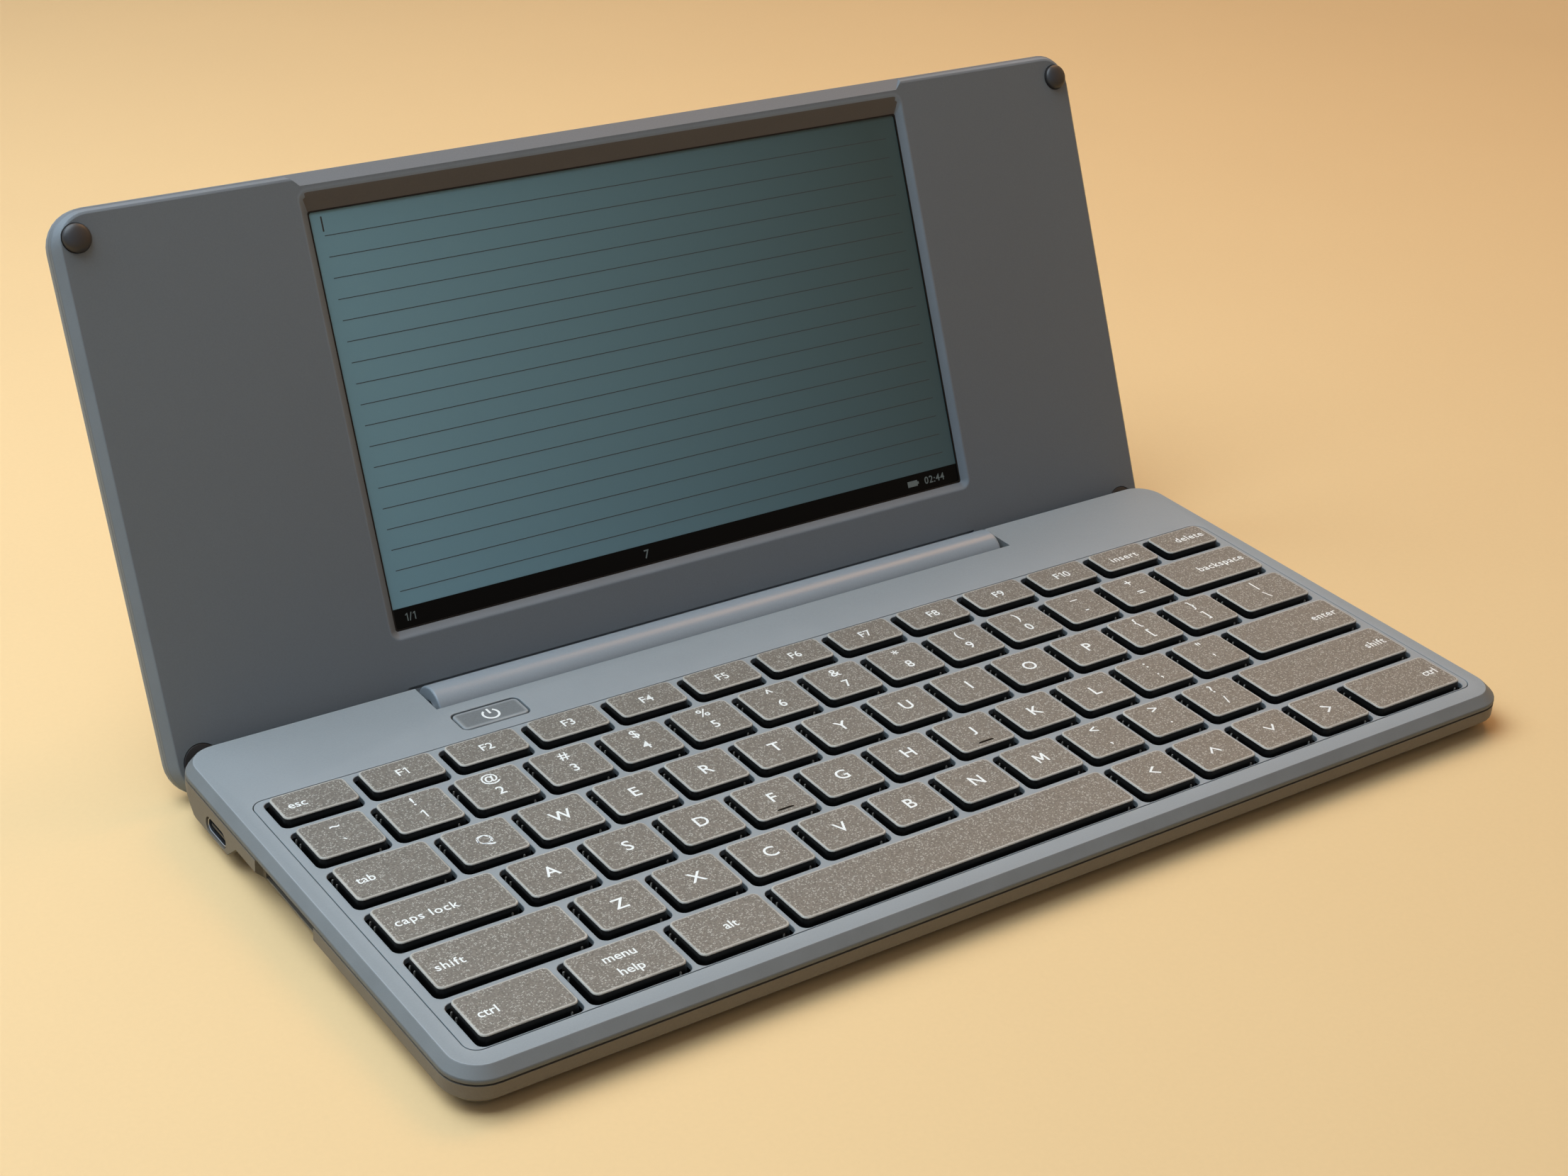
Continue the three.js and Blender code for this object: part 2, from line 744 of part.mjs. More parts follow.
// Rubber bumper that stops just above the deck when the lid is closed
function bumper(side) {
  const bottom = lidFaceZ - bumperSeat + stackGap;
  const tip = lidFaceZ + closedGap - fitGap;
  const shoulder = (bottom + tip) / 2;
  const profile = [
    new THREE.Vector2(0, bottom), new THREE.Vector2(bumperRadius, bottom),
    new THREE.Vector2(bumperRadius, shoulder),
    ...[1, 2, 3].map((step) => {
      const turn = (step * Math.PI) / 8;
      const rise = shoulder + (tip - shoulder) * Math.sin(turn);
      return new THREE.Vector2(bumperRadius * Math.cos(turn), rise);
    }),
    new THREE.Vector2(0, tip),
  ];
  const dome = new THREE.LatheGeometry(profile, roundSides);
  return solid(dome.rotateX(Math.PI / 2).translate(side * bumperX, bumperY, 0));
}

function lowerCap(side) {
  const bottom = lidFaceZ - lowerCapThickness;
  return disc(lowerCapRadius, side * lowerCapX, lowerCapRise, bottom, lidFaceZ);
}

base.add(
  piece("base_top_shell", "deck", topShell()),
  piece("base_bottom_shell", "shell", bottomShell()),
  piece("key_switch_sheet", "membrane", keyLayer(sheetDepth, sheetThickness)),
  piece("key_support_plate", "steel", keyLayer(plateDepth, plateThickness)),
  piece("battery_pack", "cell", battery()),
  piece("main_board", "circuit", board()),
  piece("usb_c_receptacle", "steel", usbReceptacle()),
  piece("card_socket", "steel", cardSocket()),
  piece("hinge_clip_left", "steel", hingeClip(-1)),
  piece("hinge_clip_right", "steel", hingeClip(1)),
  piece("power_button", "deck", block(
    powerX - powerWidth / 2, powerX + powerWidth / 2,
    powerY - powerLength / 2, powerY + powerLength / 2, -powerHeight, 0, powerCorner
  )),
  ...feet.map(({ name, shape }) => piece(name, "rubber", shape)),
  ...keyMeshes
);

lid.add(
  piece("lid_front_bezel", "deck", frontBezel()),
  piece("lid_rear_cover", "shell", rearCover()),
  piece("lcd_panel", "screen", screenLayer(panelTop, panelThickness)),
  piece("lcd_tray", "steel", screenLayer(trayTop, trayThickness)),
  piece("hinge_barrel", "barrel", barrel()),
  piece("lid_bumper_left", "rubber", bumper(-1)),
  piece("lid_bumper_right", "rubber", bumper(1)),
  piece("lid_lower_cap_left", "rubber", lowerCap(-1)),
  piece("lid_lower_cap_right", "rubber", lowerCap(1))
);

// The open lid leans back from the hinge axis
const lean = THREE.MathUtils.degToRad(180 - openAngle);
lid.position.set(0, hingeY, -hingeDepth);
lid.rotation.x = lean;

// Opened, the whole machine stands on its front foot and on the lid's lower rear edge,
// which lifts the rear of the base a little
function atRest(y, z) {
  return {
    y: hingeY + y * Math.cos(lean) - z * Math.sin(lean),
    z: -hingeDepth + y * Math.sin(lean) + z * Math.cos(lean),
  };
}
const lidEdges = [
  atRest(lidFoot, lidBackZ + lidBackChamfer), atRest(lidFoot + lidBackChamfer, lidBackZ),
];
const frontEdge = { y: feet[0].front, z: feet[0].bottom };
const stanceTilt = Math.max(
  ...lidEdges.map(({ y, z }) => Math.atan2(frontEdge.z - z, y - frontEdge.y))
);

const wordProcessor = new THREE.Group();
wordProcessor.add(base, lid);
wordProcessor.rotation.x = stanceTilt;
wordProcessor.updateMatrixWorld(true);
const extent = new THREE.Box3().setFromObject(wordProcessor, true);
wordProcessor.position.set(0, -(extent.min.y + extent.max.y) / 2, -extent.min.z);

export default wordProcessor;
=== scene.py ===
# %% [markdown]
# A portable word processor: a flat keyboard base and a lid with the screen, joined by a
# long hinge barrel. The CAD model gives the places and the moving bodies. This script
# dresses it: each visible piece is modelled again with its rounded edges, its print and
# its finish, and then rides on the CAD body that it belongs to.

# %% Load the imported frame
import json
import math
import re

import bmesh
import bpy
from mathutils import Matrix, Vector


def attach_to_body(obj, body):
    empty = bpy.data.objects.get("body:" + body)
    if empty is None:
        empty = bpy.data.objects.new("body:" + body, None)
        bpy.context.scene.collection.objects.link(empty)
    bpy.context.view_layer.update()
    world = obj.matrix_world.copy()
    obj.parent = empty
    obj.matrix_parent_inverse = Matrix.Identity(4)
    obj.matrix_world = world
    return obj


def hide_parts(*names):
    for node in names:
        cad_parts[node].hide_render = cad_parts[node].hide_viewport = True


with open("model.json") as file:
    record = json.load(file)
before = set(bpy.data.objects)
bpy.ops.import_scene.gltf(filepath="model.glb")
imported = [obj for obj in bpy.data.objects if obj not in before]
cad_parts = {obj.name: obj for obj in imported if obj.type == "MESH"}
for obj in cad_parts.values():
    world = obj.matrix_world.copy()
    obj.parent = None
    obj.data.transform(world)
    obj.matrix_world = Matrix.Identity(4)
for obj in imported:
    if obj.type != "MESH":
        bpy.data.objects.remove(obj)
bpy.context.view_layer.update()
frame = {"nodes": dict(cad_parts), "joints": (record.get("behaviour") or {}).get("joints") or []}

# %% [markdown]
# The base stands a little tilted on the table, and the lid leans back from the hinge. It
# would be awkward to model slanted pieces, so both get a drawing frame of their own, as a
# part on a jig: the base with its deck at z = 0 and its front wall at y = 0, the lid with
# the hinge axis at the origin, Y up the lid and Z out of the screen. The joints in the
# record say how the two frames lie, so nothing has to be fitted by eye. The machine's
# sizes are written in millimetres, and MM turns them into metres. The stage is in metres.

# %% Drawing frames of the base and the lid
MM = 0.001
hinge_y = 115.5
hinge_z = -3.85
joints = {joint["name"]: joint for joint in frame["joints"]}
key_press = Vector(joints["key_q_press"]["axis"])
base_tilt = math.atan2(key_press.y, -key_press.z)
lid_lean = math.pi - math.radians(joints["lid_hinge"]["range_deg"][1])
hinge_place = Matrix.Translation(Vector(joints["lid_hinge"]["pos_m"]))
base_turn = Matrix.Rotation(base_tilt, 4, "X")
hinge_back = Matrix.Translation((0, -hinge_y * MM, -hinge_z * MM))
BASE = hinge_place @ base_turn @ hinge_back
LID = hinge_place @ Matrix.Rotation(base_tilt + lid_lean, 4, "X")
print("base tilt", math.degrees(base_tilt), "lid lean", math.degrees(lid_lean))

# %% [markdown]
# The camera stands where the photographer stood: left of the machine, in front of it and
# above. Its place and its focal length follow from the corners of the key caps, whose
# spacing is known. They are written in the frame of the base, in which they were found.

# %% Camera
def new_object(name, data):
    made = bpy.data.objects.new(name, data)
    bpy.context.scene.collection.objects.link(made)
    return made


eye = Vector((-294.115, -301.875, 280.004)) * MM
azimuth, elevation, roll = (math.radians(angle) for angle in (36.535, -28.167, 3.581))
ahead = Vector((math.sin(azimuth) * math.cos(elevation),
                math.cos(azimuth) * math.cos(elevation), math.sin(elevation)))
level = ahead.cross(Vector((0, 0, 1))).normalized()
right = level * math.cos(roll) + level.cross(ahead) * math.sin(roll)
camera_place = Matrix((right, right.cross(ahead), -ahead)).transposed().to_4x4()
camera_place.translation = eye
camera_data = bpy.data.cameras.new("camera")
camera_data.sensor_width = 36
camera_data.lens = 58.98
camera = new_object("camera", camera_data)
camera.matrix_world = BASE @ camera_place
bpy.context.scene.camera = camera
print("camera at", tuple(round(value, 3) for value in camera.matrix_world.translation))


# %% [markdown]
# Colours are written as on a paint card, from 0 to 255, and turned into the linear
# numbers that Blender mixes light with. Nodes are added by one helper that also wires
# them, which keeps every material readable from top to bottom.

# %% Colours and nodes
def paint(red, green, blue):
    """Turns a colour of the paint card into linear light, by the sRGB curve."""
    channels = (value / 255 for value in (red, green, blue))
    return tuple(c / 12.92 if c < 0.04 else ((c + 0.055) / 1.055) ** 2.4
                 for c in channels) + (1,)


def add_node(tree, kind, inputs=None, **settings):
    """Adds a node and returns its outputs. An input is a value or a socket to wire."""
    made = tree.nodes.new("ShaderNode" + kind)
    for key, value in settings.items():
        setattr(made, key, value)
    for socket, value in (inputs or {}).items():
        if isinstance(value, bpy.types.NodeSocket):
            tree.links.new(value, made.inputs[socket])
        else:
            made.inputs[socket].default_value = value
    return made.outputs


def maths(tree, operation, *values):
    return add_node(tree, "Math", dict(enumerate(values)), operation=operation)[0]


def map_range(tree, value, low, high, start=0.0, end=1.0):
    return add_node(tree, "MapRange", {0: value, 1: low, 2: high, 3: start, 4: end})[0]


def blend_colour(tree, share, first, second, mode="MIX"):
    return add_node(tree, "Mix", {0: share, 6: first, 7: second}, data_type="RGBA",
                    blend_type=mode)[2]


def own_place(tree):
    return add_node(tree, "TexCoord")["Object"]


print("middle grey of the card is", round(paint(128, 128, 128)[0], 3), "in linear light")


# %% [markdown]
# An effect that several finishes share is a node group, built once. The grain is the
# fine texture of a moulded surface: a broad cloud shifts the colour a little, as plastic
# never is one flat colour, and fine noise gives the bump. A photo texture could do this
# too, but noise needs no unwrapping and keeps its real size in millimetres.

# %% Node group: moulded grain
NUMBER, COLOUR, VECTOR = "NodeSocketFloat", "NodeSocketColor", "NodeSocketVector"


def new_group(name, inputs, outputs):
    """Returns the group, what it is given, and the sockets that take its results."""
    group = bpy.data.node_groups.new(name, "ShaderNodeTree")
    for label, kind, value in inputs:
        socket = group.interface.new_socket(label, in_out="INPUT", socket_type=kind)
        socket.default_value = value
    for label, kind in outputs:
        group.interface.new_socket(label, in_out="OUTPUT", socket_type=kind)
    given = group.nodes.new("NodeGroupInput").outputs
    return group, given, group.nodes.new("NodeGroupOutput").inputs


noise_mean = 0.5
clouds_per_metre = 14
shade_gain = 4.0
cloud_roughness = 0.16
grain_depth = 0.05 * MM


def moulded_grain():
    group, given, result = new_group("moulded_grain", [
        ("Colour", COLOUR, (0.5, 0.5, 0.5, 1)), ("Cloud", NUMBER, 0.06),
        ("Grain per metre", NUMBER, 3000), ("Grain shade", NUMBER, 0.05),
        ("Grain height", NUMBER, 0.3), ("Roughness", NUMBER, 0.5),
    ], [("Colour", COLOUR), ("Roughness", NUMBER), ("Normal", VECTOR)])
    place = own_place(group)
    cloud = add_node(group, "TexNoise", {
        "Vector": place, "Scale": clouds_per_metre, "Detail": 3})[0]
    grain = add_node(group, "TexNoise", {
        "Vector": place, "Scale": given["Grain per metre"], "Detail": 2})[0]
    shift = maths(group, "SUBTRACT", cloud, noise_mean)
    fine = maths(group, "SUBTRACT", grain, noise_mean)
    shade = maths(group, "ADD", maths(group, "MULTIPLY", shift, given["Cloud"]),
                  maths(group, "MULTIPLY", fine, given["Grain shade"]))
    scale = maths(group, "ADD", 1.0, maths(group, "MULTIPLY", shade, shade_gain))
    grey = add_node(group, "CombineColor", {0: scale, 1: scale, 2: scale})[0]
    colour = blend_colour(group, 1.0, given["Colour"], grey, "MULTIPLY")
    bump = add_node(group, "Bump", {
        "Strength": given["Grain height"], "Distance": grain_depth, "Height": grain})[0]
    rough = maths(group, "ADD", given["Roughness"],
                  maths(group, "MULTIPLY", shift, cloud_roughness))
    for label, socket in (("Colour", colour), ("Roughness", rough), ("Normal", bump)):
        group.links.new(socket, result[label])
    return group


GRAIN = moulded_grain()
print("group", GRAIN.name, "of", len(GRAIN.nodes), "nodes")


# %% [markdown]
# The key caps are painted with a metallic lacquer, so fine light flecks glint in it. One
# random value for each small cell decides whether the cell holds a fleck. Dust works in
# the same way with few and larger cells, and both give only a mask.

# %% Node group: flecks
def flecks():
    group, given, result = new_group("flecks", [
        ("Cells per metre", NUMBER, 4000), ("Share", NUMBER, 0.2), ("Size", NUMBER, 0.4),
    ], [("Mask", NUMBER)])
    cells = add_node(group, "TexVoronoi", {
        "Vector": own_place(group), "Scale": given["Cells per metre"]})
    pick = add_node(group, "SeparateColor", {0: cells["Color"]})[0]
    chosen = maths(group, "LESS_THAN", pick, given["Share"])
    near = maths(group, "LESS_THAN", cells["Distance"], given["Size"])
    group.links.new(maths(group, "MULTIPLY", chosen, near), result["Mask"])
    return group


FLECKS = flecks()
print("group", FLECKS.name, "of", len(FLECKS.nodes), "nodes")


# %% [markdown]
# Rounded edges turn a little lighter: partly wear where hands and sleeves touch, partly a
# painted highlight where the rounding catches the light. The mask comes from an attribute
# that the mesh code paints on rounded edges, broken up by noise so that the lighter edge
# isn't even. Blender's pointiness could find edges too, but it changes with the mesh, while
# a painted attribute stays where the maker put it.

# %% Node group: edge wear and painted highlight
wear_and_highlight_patches_per_metre = 90


def edge_wear_and_highlight():
    group, given, result = new_group("edge_wear_and_highlight", [
        ("Colour", COLOUR, (0.5, 0.5, 0.5, 1)), ("Wear and highlight colour", COLOUR, (0.7, 0.7, 0.7, 1)),
        ("Amount", NUMBER, 0.5),
    ], [("Colour", COLOUR)])
    edge = add_node(group, "Attribute", attribute_name="edge")["Fac"]
    patches = add_node(group, "TexNoise", {
        "Vector": own_place(group), "Scale": wear_and_highlight_patches_per_metre, "Detail": 3})[0]
    broken = map_range(group, patches, 0.3, 0.7, 0.55, 1.0)
    mask = maths(group, "MULTIPLY", maths(group, "MULTIPLY", edge, broken), given["Amount"])
    colour = blend_colour(group, mask, given["Colour"], given["Wear and highlight colour"])
    group.links.new(colour, result["Colour"])
    return group


EDGE_WEAR_AND_HIGHLIGHT = edge_wear_and_highlight()
print("group", EDGE_WEAR_AND_HIGHLIGHT.name, "of", len(EDGE_WEAR_AND_HIGHLIGHT.nodes), "nodes")


# %% [markdown]
# A finish is one material. All the moulded finishes follow one recipe: grain, then
# flecks, lighter edges and dust where they are asked for, into one Principled shader. The
# lighter edges are partly wear and partly a painted highlight. What is the same all over a
# surface, such as its specular level, is set on the shader itself.

# %% Recipe for a moulded finish
dust_per_metre, dust_size, dust_colour = 110, 0.03, paint(200, 200, 198)


def add_specks(tree, shown, per_metre, share, size, colour):
    mask = add_node(tree, "Group", {
        "Cells per metre": per_metre, "Share": share, "Size": size}, node_tree=FLECKS)[0]
    return blend_colour(tree, mask, shown, colour)


def finish(name, colour, roughness, cloud=0.03, grain=(3000, 0.04, 0.3), wear_and_highlight_colour=None,
           wear_and_highlight_share=0.0, fleck=None, dust=0.0, **shader):
    """Grain is (per metre, shade, height), and fleck is (per metre, share, size, colour)."""
    material = bpy.data.materials.new(name)
    material.use_nodes = True
    tree = material.node_tree
    skin = add_node(tree, "Group", {
        "Colour": colour, "Cloud": cloud, "Grain per metre": grain[0],
        "Grain shade": grain[1], "Grain height": grain[2], "Roughness": roughness,
    }, node_tree=GRAIN)
    shown = skin["Colour"]
    if fleck:
        shown = add_specks(tree, shown, *fleck)
    if wear_and_highlight_colour:
        shown = add_node(tree, "Group", {
            "Colour": shown, "Wear and highlight colour": wear_and_highlight_colour, "Amount": wear_and_highlight_share}, node_tree=EDGE_WEAR_AND_HIGHLIGHT)[0]
    if dust:
        shown = add_specks(tree, shown, dust_per_metre, dust, dust_size, dust_colour)
    principled = tree.nodes["Principled BSDF"].inputs
    for socket, value in shader.items():
        principled[socket.replace("_", " ")].default_value = value
    tree.links.new(shown, principled["Base Color"])
    for label in ("Roughness", "Normal"):
        tree.links.new(skin[label], principled[label])
    return material


# The lighter edge colours below are partly wear and partly a painted highlight on the rounding.
slate = finish("slate_plastic", paint(139, 148, 152), 0.5, wear_and_highlight_colour=paint(156, 163, 167),
               wear_and_highlight_share=0.5, dust=0.05)
# The lid is the deck's plastic, painted darker here as painted shade.
slate_lid_painted_shade = finish("slate_plastic_lid_painted_shade", paint(103, 110, 115), 0.52,
                   wear_and_highlight_colour=paint(128, 137, 144), wear_and_highlight_share=0.5, dust=0.08)
# The deck's outer slope is the same plastic, painted darker as painted shade.
slate_slope_painted_shade = finish("slate_plastic_slope_painted_shade", paint(97, 101, 101), 0.55,
                    wear_and_highlight_colour=paint(130, 135, 136), wear_and_highlight_share=0.5)
# The brow above the window is painted dark brown: painted shade and a painted reflection of the
# keys.
brow_painted_shade_and_reflection = finish("slate_brow_painted_shade_and_reflection", paint(82, 76, 70), 0.6)
# The bottom shell is painted darker and warmer: painted shade underneath and painted warm light
# bounced from the floor.
slate_under_painted_shade = finish("slate_plastic_under_painted_shade_and_bounce", paint(108, 102, 92), 0.56,
                     grain=(2200, 0.05, 0.5), wear_and_highlight_colour=paint(126, 122, 114), wear_and_highlight_share=0.4)
satin_slate = finish("satin_slate_barrel", paint(146, 156, 163), 0.3,
                     grain=(3000, 0.03, 0.15))
# The keys' rounded top edges are painted much lighter: mostly a painted highlight, with some
# wear.
lacquer = finish("key_lacquer", paint(117, 113, 105), 0.46, grain=(2600, 0.4, 1.0),
                 wear_and_highlight_colour=paint(196, 194, 185), wear_and_highlight_share=0.9,
                 fleck=(3000, 0.26, 0.5, paint(168, 167, 159)))
key_side = finish("key_side_gloss", paint(7, 7, 7), 0.3, grain=(2500, 0.02, 0.1),
                  Specular_IOR_Level=0.2)
button_lacquer = finish("button_lacquer", paint(112, 118, 120), 0.46,
                        grain=(3000, 0.12, 0.6), wear_and_highlight_colour=paint(168, 174, 176), wear_and_highlight_share=0.8)
well_black = finish("well_black", paint(8, 8, 8), 0.4, Specular_IOR_Level=0.2)
print_white = finish("legend_print", paint(242, 246, 244), 0.45, grain=(4000, 0.02, 0.1))
rubber = finish("black_rubber", paint(44, 42, 42), 0.42, grain=(2600, 0.05, 0.3))
print("finishes", len(bpy.data.materials))


# %% [markdown]
# Steel parts inside, the circuit board and the battery are out of sight, but someone may
# open the model. Each gets a simple finish with its own small texture.

# %% Finishes of the inner parts
steel = finish("bright_steel", paint(170, 172, 174), 0.3, grain=(1800, 0.05, 0.2),
               Metallic=1.0)
zinc = finish("zinc_plated_sheet", paint(150, 153, 158), 0.4, grain=(900, 0.08, 0.2),
              Metallic=1.0)
board_green = finish("board_green", paint(36, 78, 52), 0.4, grain=(700, 0.1, 0.2))
cell_foil = finish("battery_foil", paint(128, 132, 136), 0.35, grain=(500, 0.05, 0.6),
                   Metallic=0.6)
tongue_black = finish("connector_plastic", paint(22, 22, 24), 0.4)
print("finishes", len(bpy.data.materials))


# %% [markdown]
# The floor is a plain pale sheet in a warm tone. It is lit from near by, so it would get
# dark far away. There it glows a little, for the camera only. The world adds a weak
# light, cooler from the left, where a window would be, and warmer from the right, as in
# the photo. Light Path keeps the background pale for the camera and in reflections,
# without more light on the machine.

# %% Floor and world
paper = paint(237, 204, 150)
floor_half, floor_cells = 4.0, 24
glow_start, glow_full, glow = 0.7, 2.2, 0.5
fill_light, seen_light = 0.25, 0.85


def floor_sheet():
    grid = bmesh.new()
    bmesh.ops.create_grid(grid, x_segments=floor_cells, y_segments=floor_cells,
                          size=floor_half)
    mesh = bpy.data.meshes.new("floor")
    grid.to_mesh(mesh)
    grid.free()
    return new_object("floor", mesh)


floor = floor_sheet()
floor_finish = finish("pale_paper", paper, 0.7, cloud=0.01, grain=(900, 0.01, 0.1))
floor.data.materials.append(floor_finish)
sheet = floor_finish.node_tree
from_centre = add_node(sheet, "VectorMath", {0: own_place(sheet)}, operation="LENGTH")
far = map_range(sheet, from_centre["Value"], glow_start, glow_full, 0, glow)
seen_glow = maths(sheet, "MULTIPLY", far, add_node(sheet, "LightPath")["Is Camera Ray"])
emission = sheet.nodes["Principled BSDF"].inputs
sheet.links.new(seen_glow, emission["Emission Strength"])
emission["Emission Color"].default_value = paper

world = bpy.data.worlds.new("studio")
bpy.context.scene.world = world
world.use_nodes = True
sky = world.node_tree
sideways = add_node(sky, "SeparateXYZ", {0: add_node(sky, "TexCoord")["Generated"]})[0]
soft = blend_colour(sky, map_range(sky, sideways, -0.4, 0.8), paint(200, 220, 242),
                    paint(242, 196, 146))
path = add_node(sky, "LightPath")
seen = maths(sky, "MAXIMUM", path["Is Transmission Ray"],
             maths(sky, "MAXIMUM", path["Is Camera Ray"], path["Is Glossy Ray"]))
background = sky.nodes["Background"].inputs
sky.links.new(blend_colour(sky, path["Is Camera Ray"], soft, paper), background["Color"])
sky.links.new(map_range(sky, seen, 0, 1, fill_light, seen_light), background["Strength"])
print("floor", 2 * floor_half, "m wide, world", fill_light, "of light")


# %% [markdown]
# Four soft lamps give the rest: a large cool one above, a faint one in front, a warm one
# at the right, and one that only lights the floor far behind. Large lamps give soft
# shadows, which the photo has.

# %% Lamps
lamps = {  # place, target, size, power, colour
    "softbox_above": ((-0.38, 0.22, 0.78), (-0.1, 0.0, 0), 0.8, 9.5, paint(228, 243, 255)),
    "softbox_front": ((-0.6, -0.6, 0.6), (0, 0, 0.05), 0.5, 0.35, paint(225, 238, 255)),
    "softbox_right": ((0.6, 0.3, 0.84), (0, 0.05, 0), 0.45, 2.3, paint(255, 190, 122)),
    "softbox_rear": ((0.5, 1.5, 1.5), (0.5, 1.5, 0), 1.2, 4.0, paint(255, 242, 220)),
}
for name, (place, target, size, power, colour) in lamps.items():
    data = bpy.data.lights.new(name, "AREA")
    data.size, data.energy, data.color = size, power, colour[:3]
    box = new_object(name, data)
    box.location = place
    box.rotation_euler = (Vector(target) - Vector(place)).to_track_quat("-Z", "Y").to_euler()
bpy.context.scene.view_settings.view_transform = "Standard"
print("lamps", list(lamps))


# %% [markdown]
# Most housings are skins through a stack of rounded outlines, the way a boat's hull is
# drawn through its frames. Every outline has as many points as the next, so two
# neighbours join with one strip of faces. A corner between two strips is eased: a short
# curve replaces it, which gives the rounded edges that catch the light.

# %% Outlines, eased corners and skins
def outline(left, right, front, rear, corner, steps=8):
    """Points round a rectangle with rounded corners."""
    points = []
    centres = ((right - corner, rear - corner), (left + corner, rear - corner),
               (left + corner, front + corner), (right - corner, front + corner))
    for quarter, (x, y) in enumerate(centres):
        for step in range(steps + 1):
            turn = (quarter + step / steps) * math.pi / 2
            points.append((x + corner * math.cos(turn), y + corner * math.sin(turn)))
    return points


def circle(x, y, radius, steps=32):
    turns = (2 * math.pi * step / steps for step in range(steps))
    return [(x + radius * math.cos(turn), y + radius * math.sin(turn)) for turn in turns]


def at(height, points):
    return [(x, y, height) for x, y in points]


def eased(stations, reach, steps=4):
    """Replaces the corners of a path, in any number of dimensions, by short curves."""
    path = [Vector(stations[0])]
    for before, here, after in zip(stations, stations[1:], stations[2:]):
        back, corner, on = Vector(before), Vector(here), Vector(after)
        start = corner + (back - corner).normalized() * min(reach, (back - corner).length / 2)
        end = corner + (on - corner).normalized() * min(reach, (on - corner).length / 2)
        for step in range(steps + 1):
            share = step / steps
            path.append(start.lerp(corner, share).lerp(corner.lerp(end, share), share))
    path.append(Vector(stations[-1]))
    return path


def add_skin(bm, rings, edge_rings=(), closed=True):
    """Joins the rings by strips, paints the edge attribute, and returns the end rings."""
    edge = bm.verts.layers.float.get("edge") or bm.verts.layers.float.new("edge")
    rows = []
    for number, ring in enumerate(rings):
        row = [bm.verts.new(Vector(point) * MM) for point in ring]
        for vert in row:
            vert[edge] = 1.0 if number in edge_rings else 0.0
        rows.append(row)
    for low, high in zip(rows, rows[1:]):
        for index in range(len(low)):
            after = (index + 1) % len(low)
            bm.faces.new((low[index], low[after], high[after], high[index]))
    if closed:
        bm.faces.new(tuple(reversed(rows[0])))
        bm.faces.new(tuple(rows[-1]))
    return rows[0], rows[-1]


def fill_between(bm, rows):
    """Flat face between an outer row of points and the rows of its holes."""
    edges = []
    for row in rows:
        for index, vert in enumerate(row):
            edges.append(bm.edges.get((vert, row[(index + 1) % len(row)])))
    bmesh.ops.triangle_fill(bm, use_beauty=True, use_dissolve=False, edges=edges)


print("an outline has", len(outline(-1, 1, -1, 1, 0.5)), "points")


# %% [markdown]
# Shading decides whether a housing looks moulded or faceted. A vertex on the border of a
# flat face should take the normal of that face, and the rounding beside it should turn
# from there. Blender's Weighted Normal modifier weighs single faces, and a flat face that
# was filled round many holes is cut into slivers. So the faces that lie in one plane are
# weighed together here, and edges that turn by more than a set angle stay sharp.

# %% Shading by planes
plane_step = 0.1 * MM
weld_distance = 1e-7


def shade(mesh, sharp=40):
    planes = {}
    facets = []
    for face in mesh.polygons:
        normal = face.normal.copy()
        offset = normal.dot(face.center)
        plane = (*(round(value, 2) for value in normal), round(offset / plane_step))
        planes[plane] = planes.get(plane, 0.0) + face.area
        facets.append((normal, plane))
    around = [[] for _ in mesh.vertices]
    for face in mesh.polygons:
        face.use_smooth = True
        for vertex in face.vertices:
            around[vertex].append(face.index)
    limit = math.cos(math.radians(sharp))
    normals = []
    for face in mesh.polygons:
        own = facets[face.index][0]
        for vertex in face.vertices:
            total = Vector()
            for index in around[vertex]:
                normal, plane = facets[index]
                if normal.dot(own) > limit:
                    total += normal * planes[plane] ** 2
            normals.append(total.normalized() if total.length else own)
    mesh.normals_split_custom_set(normals)


def model(name, bm, place, *finishes, sharp=40):
    """Makes the piece from its mesh in millimetres, set in place and shaded."""
    bm.transform(place)
    bmesh.ops.remove_doubles(bm, verts=bm.verts, dist=weld_distance)
    bmesh.ops.recalc_face_normals(bm, faces=bm.faces)
    mesh = bpy.data.meshes.new(name)
    bm.to_mesh(mesh)
    bm.free()
    shade(mesh, sharp)
    for material in finishes:
        mesh.materials.append(material)
    return new_object(name, mesh)


def skin_piece(name, rings, place, *finishes, edge_rings=(), closed=True, sharp=40):
    """A piece that is one skin through its rings."""
    bm = bmesh.new()
    add_skin(bm, rings, edge_rings, closed)
    return model(name, bm, place, *finishes, sharp=sharp)


print("faces count as one plane within", plane_step / MM, "mm")


# %% [markdown]
# A finished piece rides on a body of the CAD model, so that it moves with the joints, and
# the CAD solids that it stands for are hidden.

# %% Attaching a piece to its body
attached = []


def attach(piece, body, slot, *nodes):
    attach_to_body(piece, body)
    if nodes:
        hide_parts(*nodes)
    attached.append(piece.name)
    return piece


def tell():
    """Prints what was attached since the last call, with the first names."""
    pieces = [bpy.data.objects[name] for name in attached]
    faces = sum(len(piece.data.polygons) for piece in pieces)
    print("pieces", len(pieces), "faces", faces, *attached[:6])
    attached.clear()


# %% [markdown]
# Sizes of the base, as in the CAD: half its width, the corner radius, and the rear face,
# which is round about the hinge axis so that the lid passes it at an even gap, and then
# runs straight down and forward.

# %% Outline of the base
half_width = 131.497
base_corner = 8
hinge_inset = 5.5
notch_half = 77.5
notch_front = 109.6


